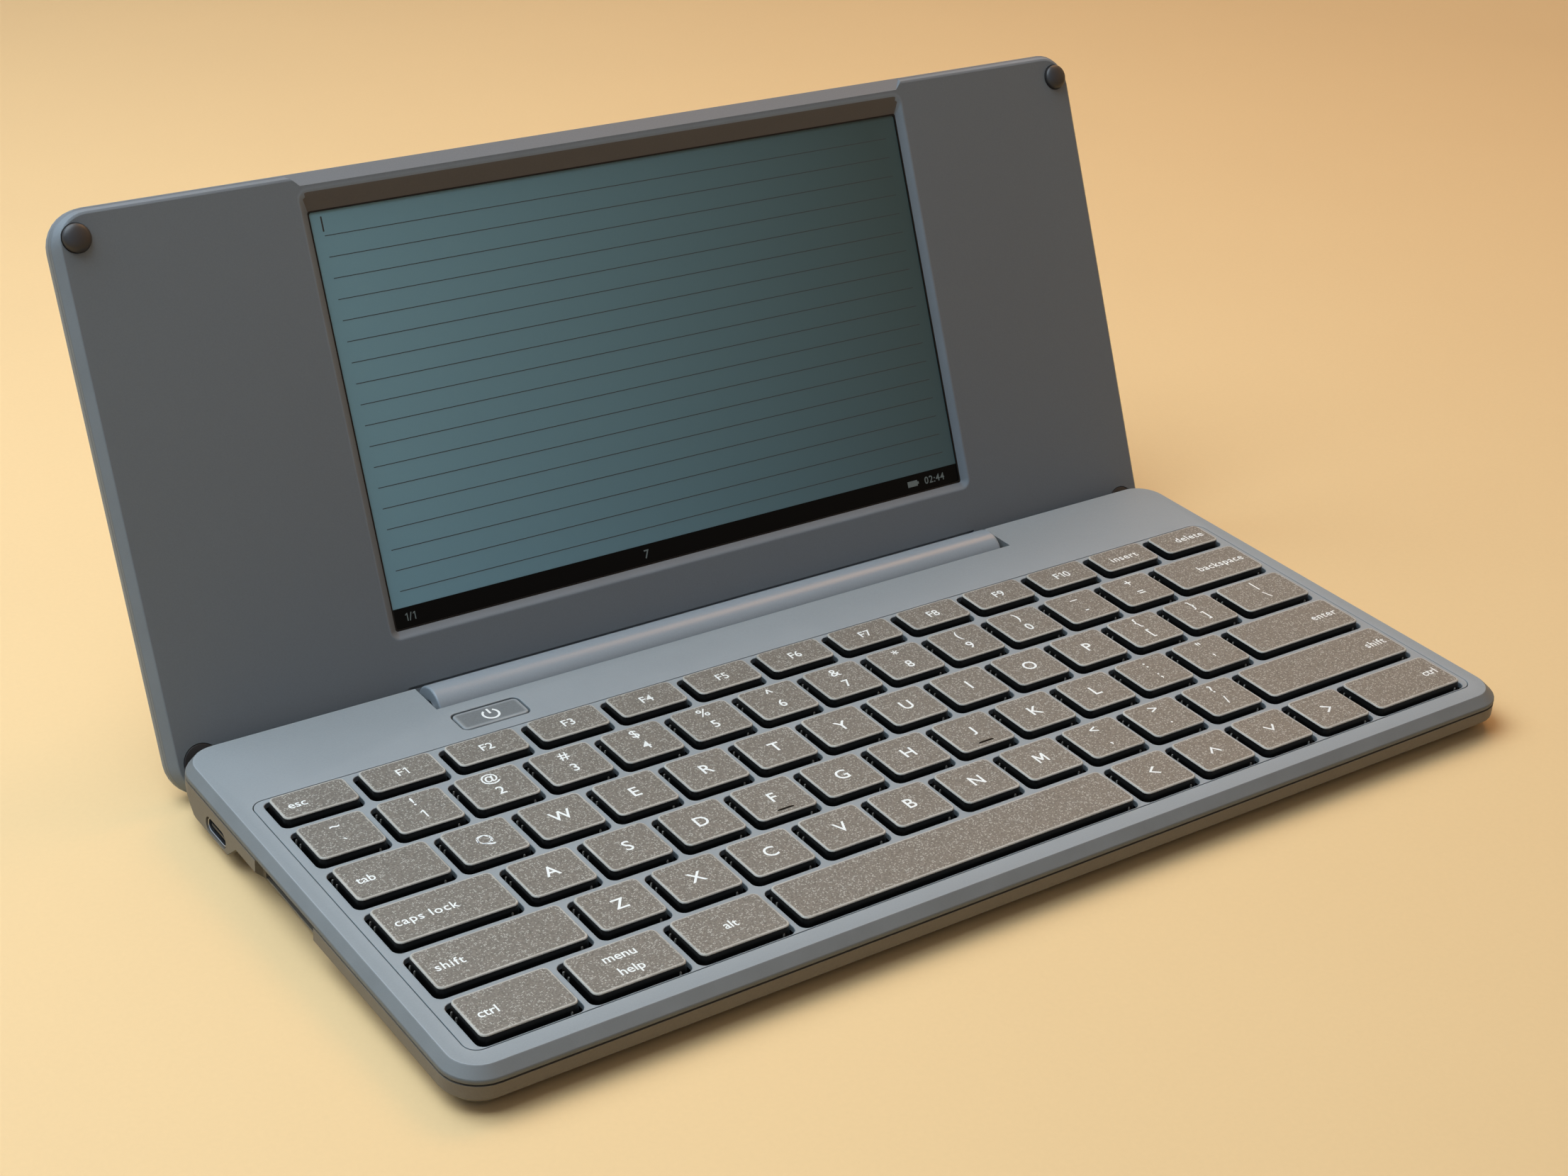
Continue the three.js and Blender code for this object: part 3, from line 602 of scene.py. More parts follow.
def rear_at(z, inset=0.0):
    radius = hinge_inset - inset
    rise = z - hinge_z
    if rise > -radius * math.sqrt(0.5):
        return hinge_y + math.sqrt(max(radius * radius - rise * rise, 0))
    return hinge_y + radius * math.sqrt(2) + rise


def base_outline(z, side, front, rear):
    return outline(-half_width + side, half_width - side, front, rear_at(z, rear),
                   base_corner - side)


def notched_outline(z, side, front, rear, grow=0.0):
    """Outline of the base with the notch that the hinge barrel lies in."""
    points = base_outline(z, side, front, rear)
    edge = rear_at(z, rear)
    x, y = notch_half + grow, notch_front - grow
    after = len(points) // 4
    return points[:after] + [(x, edge), (x, y), (-x, y), (-x, edge)] + points[after:]


print("base", 2 * half_width, "mm wide and", round(rear_at(0), 2), "mm deep on the deck")


# %% [markdown]
# The keyboard is a list: for each row its keys, each with the CAD node it belongs to, its
# width in key pitches and its legend. Every later cell that draws something for all the
# keys reads this list, so a key is changed in one place.

# %% Where the keys are
pitch = 17
row_pitch = 15.5
row_units = 44 / 3
keyboard_left = -pitch * row_units / 2
front_row_y = 13.6
function_row_y = 89.54
function_pitch = row_units / 13
cap_length, cap_gap = 11.45, 3.57
small_cap_length, small_cap_gap = 8.0, 3.75
key_rows = [
    (front_row_y, [
        ("modifier_key_bar", 4 / 3, "ctrl"), ("modifier_key_bar", 4 / 3, "menu help"),
        ("modifier_key_bar", 4 / 3, "alt"), ("key_space", 5, ""),
        ("arrow_key_bar", 1, "<left"), ("arrow_key_bar", 1, "<up"),
        ("arrow_key_bar", 1, "<down"), ("arrow_key_bar", 1, "<right"),
        ("key_right_ctrl", 5 / 3, "ctrl"),
    ]),
    (front_row_y + row_pitch, [
        ("key_left_shift", 2, "shift"), *((f"key_{c}", 1, c.upper()) for c in "zxcvbnm"),
        ("right_shift_key_bar", 1, "< ,"), ("right_shift_key_bar", 1, "> ."),
        ("right_shift_key_bar", 1, "? /"), ("right_shift_key_bar", 8 / 3, "shift"),
    ]),
    (front_row_y + 2 * row_pitch, [
        ("key_caps_lock", 5 / 3, "caps lock"),
        *((f"key_{c}", 1, c.upper()) for c in "asdfghjkl"), ("enter_key_bar", 1, ": ;"),
        ("enter_key_bar", 1, "\" '"), ("enter_key_bar", 2, "enter"),
    ]),
    (front_row_y + 3 * row_pitch, [
        ("key_tab", 4 / 3, "tab"), *((f"key_{c}", 1, c.upper()) for c in "qwertyuiop"),
        ("bracket_key_bar", 1, "{ ["), ("bracket_key_bar", 1, "} ]"),
        ("bracket_key_bar", 4 / 3, "| \\"),
    ]),
    (front_row_y + 4 * row_pitch, [
        ("number_key_bar", 1, "~ `"),
        *(("number_key_bar", 1, f"{top} {digit}")
          for top, digit in zip("!@#$%^&*()", "1234567890")),
        ("number_key_bar", 1, "– -"), ("number_key_bar", 1, "+ ="),
        ("number_key_bar", 5 / 3, "backspace"),
    ]),
    (function_row_y, [
        ("function_key_bar", function_pitch, text)
        for text in ["esc", *(f"F{number}" for number in range(1, 11)), "insert", "delete"]
    ]),
]
keys = []
for y, row in key_rows:
    left = keyboard_left
    small = y == function_row_y
    for node, share, text in row:
        keys.append({"node": node, "body": node + "_body", "text": text,
                     "x": left + share * pitch / 2, "y": y,
                     "width": share * pitch - (small_cap_gap if small else cap_gap),
                     "length": small_cap_length if small else cap_length})
        left += share * pitch
print("keys", len(keys), "in rows of", [len(row) for _, row in key_rows])


# %% [markdown]
# The deck is the top shell. A fine groove runs round the keys, so it is modelled as two
# pieces that meet there: a frame with the sloped outer edge, and the field with a hole for
# each key. The holes are not cut by booleans: each piece is filled between its outline and
# its hole outlines, which gives each hole a clean rounded lip. The slope of the frame's
# edge is painted a shade darker, as painted shade, since it faces away from the main light.

# %% Deck pieces
deck_thickness, deck_wall, deck_seam, slope_foot = 1.2, 1.3, -2.65, -1.8
groove = {"left": -126.27, "right": 126.27, "front": 6.2, "rear": 96.04, "corner": 3}
groove_gap, groove_lip = 0.2, 0.08
hole_gap, hole_lip, hole_corner = 1.2, 0.2, 1.7
power_x, power_y, power_width, power_length = -68.5, 102.7, 15.4, 6.5
power = {"left": power_x - power_width / 2, "right": power_x + power_width / 2,
         "front": power_y - power_length / 2, "rear": power_y + power_length / 2,
         "corner": 1.2}
power_gap, power_lip = 0.4, 0.15
outer_edge = range(13, 18)  # rings of the eased corner between slope and face


def key_outline(key, grow, corner, steps=5):
    return outline(key["x"] - key["width"] / 2 - grow, key["x"] + key["width"] / 2 + grow,
                   key["y"] - key["length"] / 2 - grow, key["y"] + key["length"] / 2 + grow,
                   corner, steps)


def rect(sizes, grow, steps=8):
    return outline(sizes["left"] - grow, sizes["right"] + grow, sizes["front"] - grow,
                   sizes["rear"] + grow, sizes["corner"] + grow, steps)


def lip(contour, radius, bottom, sign):
    """Rings of a wall that drops from a rounded lip. The contour grows by a number."""
    rings = []
    for step in range(4):
        turn = step / 3 * math.pi / 2
        grow = sign * radius * (1 - math.sin(turn))
        rings.append(at(radius * (math.cos(turn) - 1), contour(grow)))
    rings.append(at(bottom, contour(0.0)))
    return rings


def add_walls(bm, walls):
    """Adds walls (contour, lip, sign), and returns their upper and their lower rows."""
    ends = [add_skin(bm, lip(contour, radius, -deck_thickness, sign), range(3), closed=False)
            for contour, radius, sign in walls]
    return [top for top, _ in ends], [bottom for _, bottom in ends]


def key_field():
    bm = bmesh.new()
    edge = (lambda grow: rect(groove, grow - groove_gap), groove_lip, -1)
    holes = [(lambda grow, key=key: key_outline(key, hole_gap + grow, hole_corner + grow),
              hole_lip, 1) for key in keys]
    for rows in add_walls(bm, [edge, *holes]):
        fill_between(bm, rows)
    return model("deck_key_field", bm, BASE, slate)


def deck_frame():
    wall = deck_wall
    slope = eased([(deck_seam, 0.5, 0.5, 0.5), (deck_seam, 0, 0, 0), (slope_foot, 0, 0, 0),
                   (0, 1.8, 2.3, 0), (0, 3.2, 3.3, 0.8)], 0.35)
    inside = [(-deck_thickness, wall + 1.7, wall + 1.4, wall), (slope_foot, wall, wall, wall),
              (deck_seam, wall, wall, wall)]
    rings = [at(z, notched_outline(z, *insets, grow=wall)) for z, *insets in inside]
    rings += [at(z, notched_outline(z, *insets)) for z, *insets in slope]
    bm = bmesh.new()
    bottom, top = add_skin(bm, rings, outer_edge, closed=False)
    # The sloped outer edge takes the second finish, painted darker as painted shade.
    for face in bm.faces:
        height = face.calc_center_median().z / MM
        face.material_index = 1 if deck_seam - 0.05 < height < -0.06 else 0
    tops, bottoms = add_walls(bm, [
        (lambda grow: rect(groove, grow), groove_lip, 1),
        (lambda grow: rect(power, grow + power_gap), power_lip, 1)])
    fill_between(bm, [top, *tops])
    fill_between(bm, [bottom, *bottoms])
    return model("deck_frame", bm, BASE, slate, slate_slope_painted_shade)


for piece in (key_field(), deck_frame()):
    attach(piece, "base", "deck", "base_top_shell")
tell()


# %% [markdown]
# Each key is a cap of its own with softly rounded upper edges and walls that flare out
# below. The painted top ends at the rounded edge, and the walls show the glossy black of
# the moulding, with three small ribs. The CAD moves some caps in groups, so such a cap
# rides on its group's body.

# %% Key caps
cap_corner, cap_top, cap_edge = 1.0, 1.5, 0.3
shoulder = cap_top - cap_edge
rib_levels = [(-1.2, 0.2), (0.0, 0.19), (0.12, 0.1)]


def cap_levels():
    """Heights of a cap, and how far it is wider there than its rounded top edge."""
    levels = [(-2.1, 0.7), (-0.4, 0.5), (shoulder, 0.3)]
    for step in range(1, 6):
        turn = step / 5 * math.pi / 2
        levels.append((shoulder + cap_edge * math.sin(turn),
                       0.3 - cap_edge * (1 - math.cos(turn))))
    return levels + [(cap_top, -0.25), (cap_top - 0.012, -1.4)]


def rib_places(key):
    """Two ribs on the left wall and one on the front wall, but none on the small caps."""
    if key["length"] == small_cap_length:
        return []
    left, front = key["x"] - key["width"] / 2 - 0.55, key["y"] - key["length"] / 2 - 0.55
    return [(left, key["y"] + 4.4), (left, key["y"] + 2.6),
            (key["x"] + key["width"] / 2 - 1.6, front)]


def key_cap(key, number):
    bm = bmesh.new()
    add_skin(bm, [at(z, key_outline(key, grow, cap_corner + max(grow, -0.6), 4))
                  for z, grow in cap_levels()], range(3, 8))
    for face in bm.faces:
        painted = face.calc_center_median().z > (shoulder - 0.01) * MM
        face.material_index = 0 if painted else 1
    for x, y in rib_places(key):
        add_skin(bm, [at(z, outline(x - half, x + half, y - half, y + half, half * 0.6, 2))
                      for z, half in rib_levels])
    return model(f"keycap_{number:02d}", bm, BASE, lacquer, key_side, sharp=50)


for number, key in enumerate(keys):
    attach(key_cap(key, number), key["body"], "keys", key["node"])
tell()


# %% [markdown]
# The legends are pad-printed in white. They are made as very thin solids that lie on the
# caps, so they stay sharp from near by. Letters come from Blender's own plain typeface,
# scaled by the height of a capital.

# %% Type as flat shapes
print_depth = 0.015
letter_gap = 0.16  # between separately set letters, in capitals


def type_outline(text, bold=0.009):
    """Points and faces of a line of type at the type size 1."""
    curve = bpy.data.curves.new("type", "FONT")
    curve.body = text
    curve.offset = bold
    curve.space_character = 1.12 if len(text) > 4 else 1.0
    curve.resolution_u = 3
    holder = new_object("type", curve)
    bpy.context.view_layer.update()
    mesh = bpy.data.meshes.new_from_object(holder.evaluated_get(
        bpy.context.evaluated_depsgraph_get()))
    bpy.data.objects.remove(holder)
    bpy.data.curves.remove(curve)
    return ([tuple(vert.co.xy) for vert in mesh.vertices],
            [tuple(face.vertices) for face in mesh.polygons])


capital_share = max(y for _, y in type_outline("H")[0])
print("a capital is", round(capital_share, 3), "of the type size")


def text_mesh(text, capital):
    points, faces = type_outline(text)
    scale = capital / capital_share
    return [(x * scale, y * scale) for x, y in points], faces


def drawn_one(capital):
    """A figure one with a flag, which the typeface draws as a bare stroke."""
    points = [(0.065, 0), (0.065, 1), (-0.035, 1), (-0.27, 0.84), (-0.27, 0.71),
              (-0.065, 0.84), (-0.065, 0)]
    return [(x * capital, y * capital) for x, y in points], [tuple(range(len(points)))]


def drawn_j(capital):
    """The typeface lets its J hang below the line, and key legends don't."""
    points, faces = text_mesh("J", capital)
    low, high = min(y for _, y in points), max(y for _, y in points)
    return [(x, (y - low) / (high - low) * capital) for x, y in points], faces


def drawn_m(capital):
    """The bold outline of the typeface's M crosses itself, so it is drawn here."""
    half = [(0.44, 0), (0.44, 1), (0.28, 1)]
    foot = [(-0.3, 0), (-0.3, 0.68), (-0.06, 0.22), (0.06, 0.22), (0.3, 0.68), (0.3, 0)]
    points = [*half, (0, 0.46), *((-x, y) for x, y in reversed(half)), *foot]
    return [(x * capital, y * capital) for x, y in points], [tuple(range(len(points)))]


def set_text(text, capital, x, baseline, align="centre"):
    """Sets one line of type as flat shapes: (points, faces, shift)."""
    runs, pen = [], 0.0
    for run in re.findall("1|J|M|[^1JM]+", text):
        drawn = {"1": drawn_one, "J": drawn_j, "M": drawn_m}.get(run)
        points, faces = drawn(capital) if drawn else text_mesh(run, capital)
        low, high = min(x for x, _ in points), max(x for x, _ in points)
        runs.append((points, faces, pen - low))
        pen += high - low + letter_gap * capital
    width = pen - letter_gap * capital
    left = {"centre": x - width / 2, "left": x, "right": x - width}[align]
    return [(points, faces, (left + start, baseline)) for points, faces, start in runs]


def chevron(turn, x, y, half=1.45, reach=0.95, stroke=0.5):
    """Arrow head of two strokes, pointing along turn."""
    outer = [(-reach, half), (reach, 0), (-reach, -half)]
    inner = [(-reach - stroke, half - stroke * 0.5), (reach - stroke * 1.35, 0),
             (-reach - stroke, -half + stroke * 0.5)]
    cos, sin = math.cos(turn), math.sin(turn)
    spun = [(px * cos - py * sin, px * sin + py * cos) for px, py in outer + inner]
    return spun, [(0, 1, 4, 3), (1, 2, 5, 4)], (x, y)


def print_solid(name, shapes, height, place, ink=print_white):
    """Thin closed solid from flat shapes (points, faces, shift), standing on height."""
    bm = bmesh.new()
    for points, faces, (dx, dy) in shapes:
        verts = [bm.verts.new(Vector((x + dx, y + dy, height)) * MM) for x, y in points]
        for face in faces:
            bm.faces.new([verts[index] for index in face])
    bmesh.ops.remove_doubles(bm, verts=bm.verts, dist=weld_distance)
    bmesh.ops.recalc_face_normals(bm, faces=bm.faces)
    flat = list(bm.faces)
    if flat and flat[0].normal.z < 0:
        bmesh.ops.reverse_faces(bm, faces=flat)
    grown = bmesh.ops.extrude_face_region(bm, geom=flat)
    lifted = [item for item in grown["geom"] if isinstance(item, bmesh.types.BMVert)]
    bmesh.ops.translate(bm, verts=lifted, vec=(0, 0, print_depth * MM))
    return model(name, bm, place, ink, sharp=20)


# %% [markdown]
# A letter stands in the middle of its cap and is larger than a word. A key with two signs
# has one above the other, and the words of the outer keys stand at the outer side of the
# cap, as on the real keys.

# %% Legends
letter, upper_sign, lower_sign, function_word, small_word, word = 3.1, 2.7, 2.6, 2.3, 2.2, 2.15
sign_drop = {"`": 1.0, "'": 0.6}
arrow_turns = {"<left": math.pi, "<up": math.pi / 2, "<down": -math.pi / 2, "<right": 0.0}
left_words = {"esc", "tab", "caps lock"}
right_words = {"backspace", "enter", "delete"}


def legend_shapes(key):
    text, x, y = key["text"], key["x"], key["y"]
    half = key["width"] / 2
    if text in arrow_turns:
        return [chevron(arrow_turns[text], x, y + 0.1)]
    if text == "menu help":
        return (set_text("menu", small_word, x, y + 1.1)
                + set_text("help", small_word, x, y - 3.4))
    if len(text) == 1:
        return set_text(text, letter, x, y - 1.4)
    if len(text) == 3 and " " in text:
        upper, lower = text.split(" ")
        drop = sign_drop.get(lower, 0.0)
        return (set_text(upper, upper_sign, x, y + 1.9)
                + set_text(lower, lower_sign, x, y - 2.9 - drop))
    if text in left_words or (text in ("shift", "ctrl") and x < 0):
        return set_text(text, word, x - half + 2.0, y - 1.2, "left")
    if text in right_words or text in ("shift", "ctrl"):
        return set_text(text, word, x + half - 1.5, y - 1.0, "right")
    if text.startswith("F"):
        return set_text(text, function_word, x, y - 1.1)
    return set_text(text, word, x, y - 1.2)


for number, key in enumerate(keys):
    if key["text"]:
        legend = print_solid(f"legend_{number:02d}", legend_shapes(key), cap_top - 0.01, BASE)
        attach(legend, key["body"], "keys")
tell()


# %% [markdown]
# Two keys carry a small ridge that the index fingers find without looking. It is a low
# half-round bar near the front edge of the cap.

# %% Homing ridges
ridge_ends = [(0, 0.35), (0.08, 0.8), (0.2, 1.0), (0.8, 1.0), (0.92, 0.8), (1, 0.35)]
ridge_length, ridge_radius, ridge_rise, ridge_y, ridge_steps = 4.0, 0.2, 1.3, -4.4, 8


def homing_ridge(key):
    rings = []
    for along, share in ridge_ends:
        x = key["x"] + (along - 0.5) * ridge_length
        turns = [math.pi * step / ridge_steps for step in range(ridge_steps + 1)]
        radius = ridge_radius * share
        rings.append([(x, key["y"] + ridge_y + radius * math.cos(turn),
                       cap_top - 0.03 + ridge_rise * radius * math.sin(turn))
                      for turn in turns])
    return skin_piece("homing_ridge_" + key["text"].lower(), rings, BASE, key_side)


for key in keys:
    if key["text"] in ("F", "J"):
        attach(homing_ridge(key), key["body"], "keys")
tell()


# %% [markdown]
# Deep in the gap round each cap lies a thin black rim that guides the cap. It stands
# clear of the cap's walls, so that a pressed cap doesn't touch it. The rims are one piece
# on the base: a ring for each key, swept from the key's own outline.

# %% Key guides in the wells
guide_bottom, guide_top = -3.7, -2.75


def key_guides():
    bm = bmesh.new()
    for key in keys:
        outer, inner = key_outline(key, 1.05, 1.5, 3), key_outline(key, 0.8, 1.3, 3)
        add_skin(bm, [at(guide_bottom, outer), at(guide_top, outer), at(guide_top, inner),
                      at(guide_bottom, inner), at(guide_bottom, outer)], closed=False)
    return model("key_guides", bm, BASE, well_black)


attach(key_guides(), "base", "keys")
tell()


# %% [markdown]
# The bottom shell is shallow under the keys and deeper along the rear, where the hinge
# and the connectors are. Two skins are drawn, one for each depth, and joined and cut by
# booleans, which is the simplest way where slopes run into each other. A bevel modifier
# then breaks every sharp edge.

# %% Booleans and bevels
def block(name, sides, depths, heights, corner, place, steps=4):
    """Box between left and right, front and rear, and bottom and top."""
    shape = outline(*sides, *depths, corner, steps)
    return skin_piece(name, [at(height, shape) for height in heights], place)


def apply_modifiers(piece):
    bpy.context.view_layer.update()
    shaped = piece.evaluated_get(bpy.context.evaluated_depsgraph_get())
    piece.data = bpy.data.meshes.new_from_object(shaped)
    piece.modifiers.clear()
    bm = bmesh.new()
    bm.from_mesh(piece.data)
    bmesh.ops.remove_doubles(bm, verts=bm.verts, dist=0.004 * MM)
    bmesh.ops.dissolve_degenerate(bm, edges=bm.edges, dist=0.001 * MM)
    bm.to_mesh(piece.data)
    bm.free()
    shade(piece.data)


def carve(piece, *tools, how="DIFFERENCE"):
    for tool in tools:
        step = piece.modifiers.new(how.lower(), "BOOLEAN")
        step.operation = how
        step.solver = "EXACT"
        step.object = tool
        apply_modifiers(piece)
        bpy.data.objects.remove(tool)


def break_edges(piece, width, angle=40):
    bevel = piece.modifiers.new("broken_edges", "BEVEL")
    bevel.width = width * MM
    bevel.segments = 3
    bevel.limit_method = "ANGLE"
    bevel.angle_limit = math.radians(angle)
    apply_modifiers(piece)


print("cutting tools: block, carve, break_edges")


# %% [markdown]
# What cuts into the shell from outside is listed first: the mouth of the USB-C socket, a
# slot for a card in a scoop for the finger, the seats of the rubber feet and of the
# screws. The tools reach well past the shell, so that no face of a tool lies in a face of
# the shell, which would confuse a boolean.

# %% Places on the bottom shell
above, below, outside, behind = 4, -14, -140, 125
scoop_front, scoop_rear, scoop_wall_x, scoop_corner = 56.35, 81.65, -129.3, 0.8
card_slot = (-131, -127), (56.7, 81.3), (-7.475, -5.075)
square_corner = 0.0001
usb_y, usb_z = 100.1, -7.22
screw_places = [(-112, 14), (0, 24), (112, 14), (-112, 84), (0, 84), (112, 84)]
foot_half, foot_width, foot_corner, foot_gap = 95, 5, 1.25, 0.3
feet = {"front": (5.5, -8.0, -9.4), "rear": (101.0, -9.4, -10.8)}  # y, seat, sole


def slot_rings(stations, steps=10):
    """Rings of a round-ended tube along X: (x, width, height)."""
    rings = []
    for x, width, height in stations:
        reach, radius = (width - height) / 2, height / 2
        turns = [(step / steps - 0.5) * math.pi for step in range(steps + 1)]
        rings.append([(x, usb_y + side * (reach + radius * math.cos(turn)),
                       usb_z + side * radius * math.sin(turn))
                      for side in (1, -1) for turn in turns])
    return rings


def usb_opening():
    rings = slot_rings([(x, 9.54, 3.76) for x in (-136, -129)])
    return skin_piece("usb_opening", rings, BASE)


def foot_seats():
    half, corner = foot_half + foot_gap, foot_corner + foot_gap
    return [block("seat", (-half, half), (front - foot_gap, front + foot_width + foot_gap),
                  (-13, seat), corner, BASE) for front, seat, _ in feet.values()]


def screw_seats():
    return [skin_piece("screw_seat", [at(z, circle(x, y, 2.9)) for z in (-12, -7.9)], BASE)
            for x, y in screw_places]


print("feet", len(feet), "screws", len(screw_places))


# %% [markdown]
# The shell is its outer body less its hollow, and both follow the same steps, so that the
# wall is even. The rear part of the body stands in layers, because the curved rear face
# has another outline at each height.

# %% Bottom shell
belly_depth, belly_chamfer = 8.6, 2.9
hump_depth, hump_chamfer, hump_flat_y, hump_slope = 10.0, 0.6, 95.6, 5
shell_wall, shell_seam = 1.3, -2.95
belly_side = belly_chamfer - belly_depth


def base_skin(name, stations, *finishes):
    return skin_piece(name, [at(z, base_outline(z, *insets)) for z, *insets in stations],
                      BASE, *finishes)


def wedge_under_belly(shift, floor_z, side_z):
    """Tool that cuts away what a deep skin has in front of the hump."""
    side, front, flat = half_width + 3, -3, hump_flat_y + shift
    points = [(front, below), (flat, below), (flat, floor_z), (flat - hump_slope, side_z),
              (front, side_z)]
    return skin_piece("wedge", [[(x, y, z) for y, z in points] for x in (-side, side)], BASE)


def shell_body():
    belly = eased([(z, inset, inset, inset) for z, inset in (
        (-belly_depth, belly_chamfer + 2), (-belly_depth, belly_chamfer), (belly_side, 0),
        (shell_seam, 0), (shell_seam, 0.5))], 0.7)
    # The shell's finish is painted darker and warmer than the deck's, as painted shade and
    # painted floor bounce.
    shell = base_skin("bottom_shell", belly, slate_under_painted_shade)
    rise = shell_seam + hump_depth - hump_chamfer
    hump = eased([(-hump_depth, 2.0, 2.0, 0), (-hump_depth, hump_chamfer, hump_chamfer, 0),
                  (hump_chamfer - hump_depth, 0, 0, 0)], 0.35)
    hump += [(hump_chamfer - hump_depth + rise * step / 10, 0, 0, 0) for step in range(1, 11)]
    hump = base_skin("hump", hump)
    carve(hump, wedge_under_belly(0, -hump_depth, belly_side))
    carve(shell, hump, how="UNION")
    return shell


def shell_hollow():
    wall, rear_wall, floor_inset, floor_thickness, deep_floor = shell_wall, 6, 3.84, 0.9, -9.1
    hollow = base_skin("hollow", [
        (floor_thickness - belly_depth, floor_inset, floor_inset, rear_wall),
        (belly_side + 0.54, wall, wall, rear_wall), (0.0, wall, wall, rear_wall)])
    deep = base_skin("deep_hollow", [(z, wall, wall, wall) for z in (
        deep_floor, -6.5, -4.5, -3.4, -2.9)] + [(0, wall, wall, 3.3)])
    carve(deep, wedge_under_belly(wall, deep_floor, -4.4))
    carve(hollow, deep, how="UNION")
    scoop_room = block("scoop_room", (outside, scoop_wall_x + wall),
                       (scoop_front - wall, scoop_rear + wall), (-12, above), 0.6, BASE)
    notch_room = block("notch_room", (-notch_half - wall, notch_half + wall),
                       (notch_front - wall, behind), (below, above), 0.4, BASE)
    carve(hollow, scoop_room, notch_room)
    return hollow


def bottom_shell():
    shell = shell_body()
    hollow = shell_hollow()
    notch = block("notch", (-notch_half, notch_half), (notch_front, behind), (below, above),
                  0.5, BASE)
    scoop = block("scoop", (outside, scoop_wall_x), (scoop_front, scoop_rear), (-12, above),
                  scoop_corner, BASE)
    slot = block("slot", *card_slot, square_corner, BASE)
    carve(shell, hollow, notch, scoop, slot, usb_opening(), *foot_seats(), *screw_seats())
    break_edges(shell, 0.25)
    return shell


attach(bottom_shell(), "base", "shell", "base_bottom_shell")
tell()


# %% [markdown]
# The lid is a flat box of two halves. The front half is the bezel: its edge is sloped like
# the deck's, and the window for the screen has a wide slope above and narrow ones on the
# other sides. The wide slope is painted dark and brown, as painted shade and a painted
# reflection of the keys below it. The face is filled between its outline, the window
# and the opening of the barrel's neck, as the deck was. Then the round seats of the rubber
# pads, a fine groove over the barrel and a wedge at the top edge for the fingers are cut.

# %% Bezel of the lid
lid_top, lid_foot, face_z, back_z = 115.5, -5.5, -5.9, -12.65
screen = {"left": -76.8, "right": 76.8, "front": 17.1, "rear": 107.3}
bumper_x, bumper_y, bumper_seat = 126.4, 109.6, (3.1, face_z - 0.5)
pad_x, pad_y, pad_seat = 124.7, 1.7, (4.0, face_z - 0.95)
brow_half, brow_front, brow_rear = 77, 107, 111.2


def lid_outline(side, foot, top):
    return outline(-half_width + side, half_width - side, lid_foot + foot, lid_top - top,
                   base_corner - side)


def window_outline(share, shrink=0.0):
    side = 1.6 * share - shrink
    return outline(screen["left"] - side, screen["right"] + side, screen["front"] - side,
                   screen["rear"] + 4.0 * share - shrink, 0.6 + 1.6 * share)


def finger_wedge():
    """Tool for the sloped finger edge, wider towards the top edge of the lid."""
    reach, drop, half, over = 2.8, 2.1, 77.6, 2.0
    near, far, wide = lid_top - reach, lid_top + over, half + reach + over
    low = [(-half, near), (half, near), (wide, far), (-wide, far)]
    return skin_piece("finger_wedge", [
        [(x, y, face_z - drop / reach * (y - near)) for x, y in low],
        at(face_z + over, low)], LID)


def pad_seats():
    return [skin_piece("seat", [at(z, circle(side * x, y, radius)) for z in (floor_z, 0)], LID)
            for x, y, (radius, floor_z) in ((bumper_x, bumper_y, bumper_seat),
                                            (pad_x, pad_y, pad_seat))
            for side in (-1, 1)]


def front_bezel():
    bm = bmesh.new()
    wall, under, rim, foot = 1.3, face_z - 1.2, -8.5, face_z - 1.8
    inside = [(under, wall + 1.7, wall + 0.8, 4.5), (foot, wall, wall, 2.8),
              (rim, wall, wall, 2.8)]
    slope = eased([(rim, 0.5, 0.5, 0.5), (rim, 0, 0, 0), (foot, 0, 0, 0),
                   (face_z, 1.7, 0.8, 1.4), (face_z, 2.3, 1.4, 2.0)], 0.3)
    rings = [at(z, lid_outline(*insets)) for z, *insets in [*inside, *slope]]
    bottom, top = add_skin(bm, rings, outer_edge, closed=False)
    window = eased([(under, 0.0), (face_z, 1.0), (face_z, 1.3)], 0.35)
    sill, brow = add_skin(bm, [at(z, window_outline(share)) for z, share in window],
                          range(1, 6), closed=False)
    neck = outline(-60.3, 60.3, -1.8, 1.8, 0.3)
    low, high = add_skin(bm, [at(under, neck), at(face_z, neck)], closed=False)
    # The faces of the wide slope above the window take the brow finish: painted shade and a
    # painted reflection.
    for face in bm.faces:
        x, y, z = face.calc_center_median() / MM
        if abs(x) < brow_half and brow_front < y < brow_rear and z > under:
            face.material_index = 1
    fill_between(bm, [top, brow, high])
    fill_between(bm, [bottom, sill, low])
    # The bezel wears the lid's plastic, painted darker than the deck's as painted shade.
    bezel = model("lid_bezel", bm, LID, slate_lid_painted_shade, brow_painted_shade_and_reflection)
    seam = block("seam", (-77.2, 77.2), (4.35, 4.95), (face_z - 0.9, 0), 0.2, LID)
    carve(bezel, finger_wedge(), seam, *pad_seats())
    break_edges(bezel, 0.12, angle=25)
    return bezel


attach(front_bezel(), "lid", "deck", "lid_front_bezel")
tell()


# %% [markdown]
# The rear cover is a shallow tray: one skin runs from its floor up the inner wall, over
# the rim, and down outside to the back, so the wall thickness comes by itself.

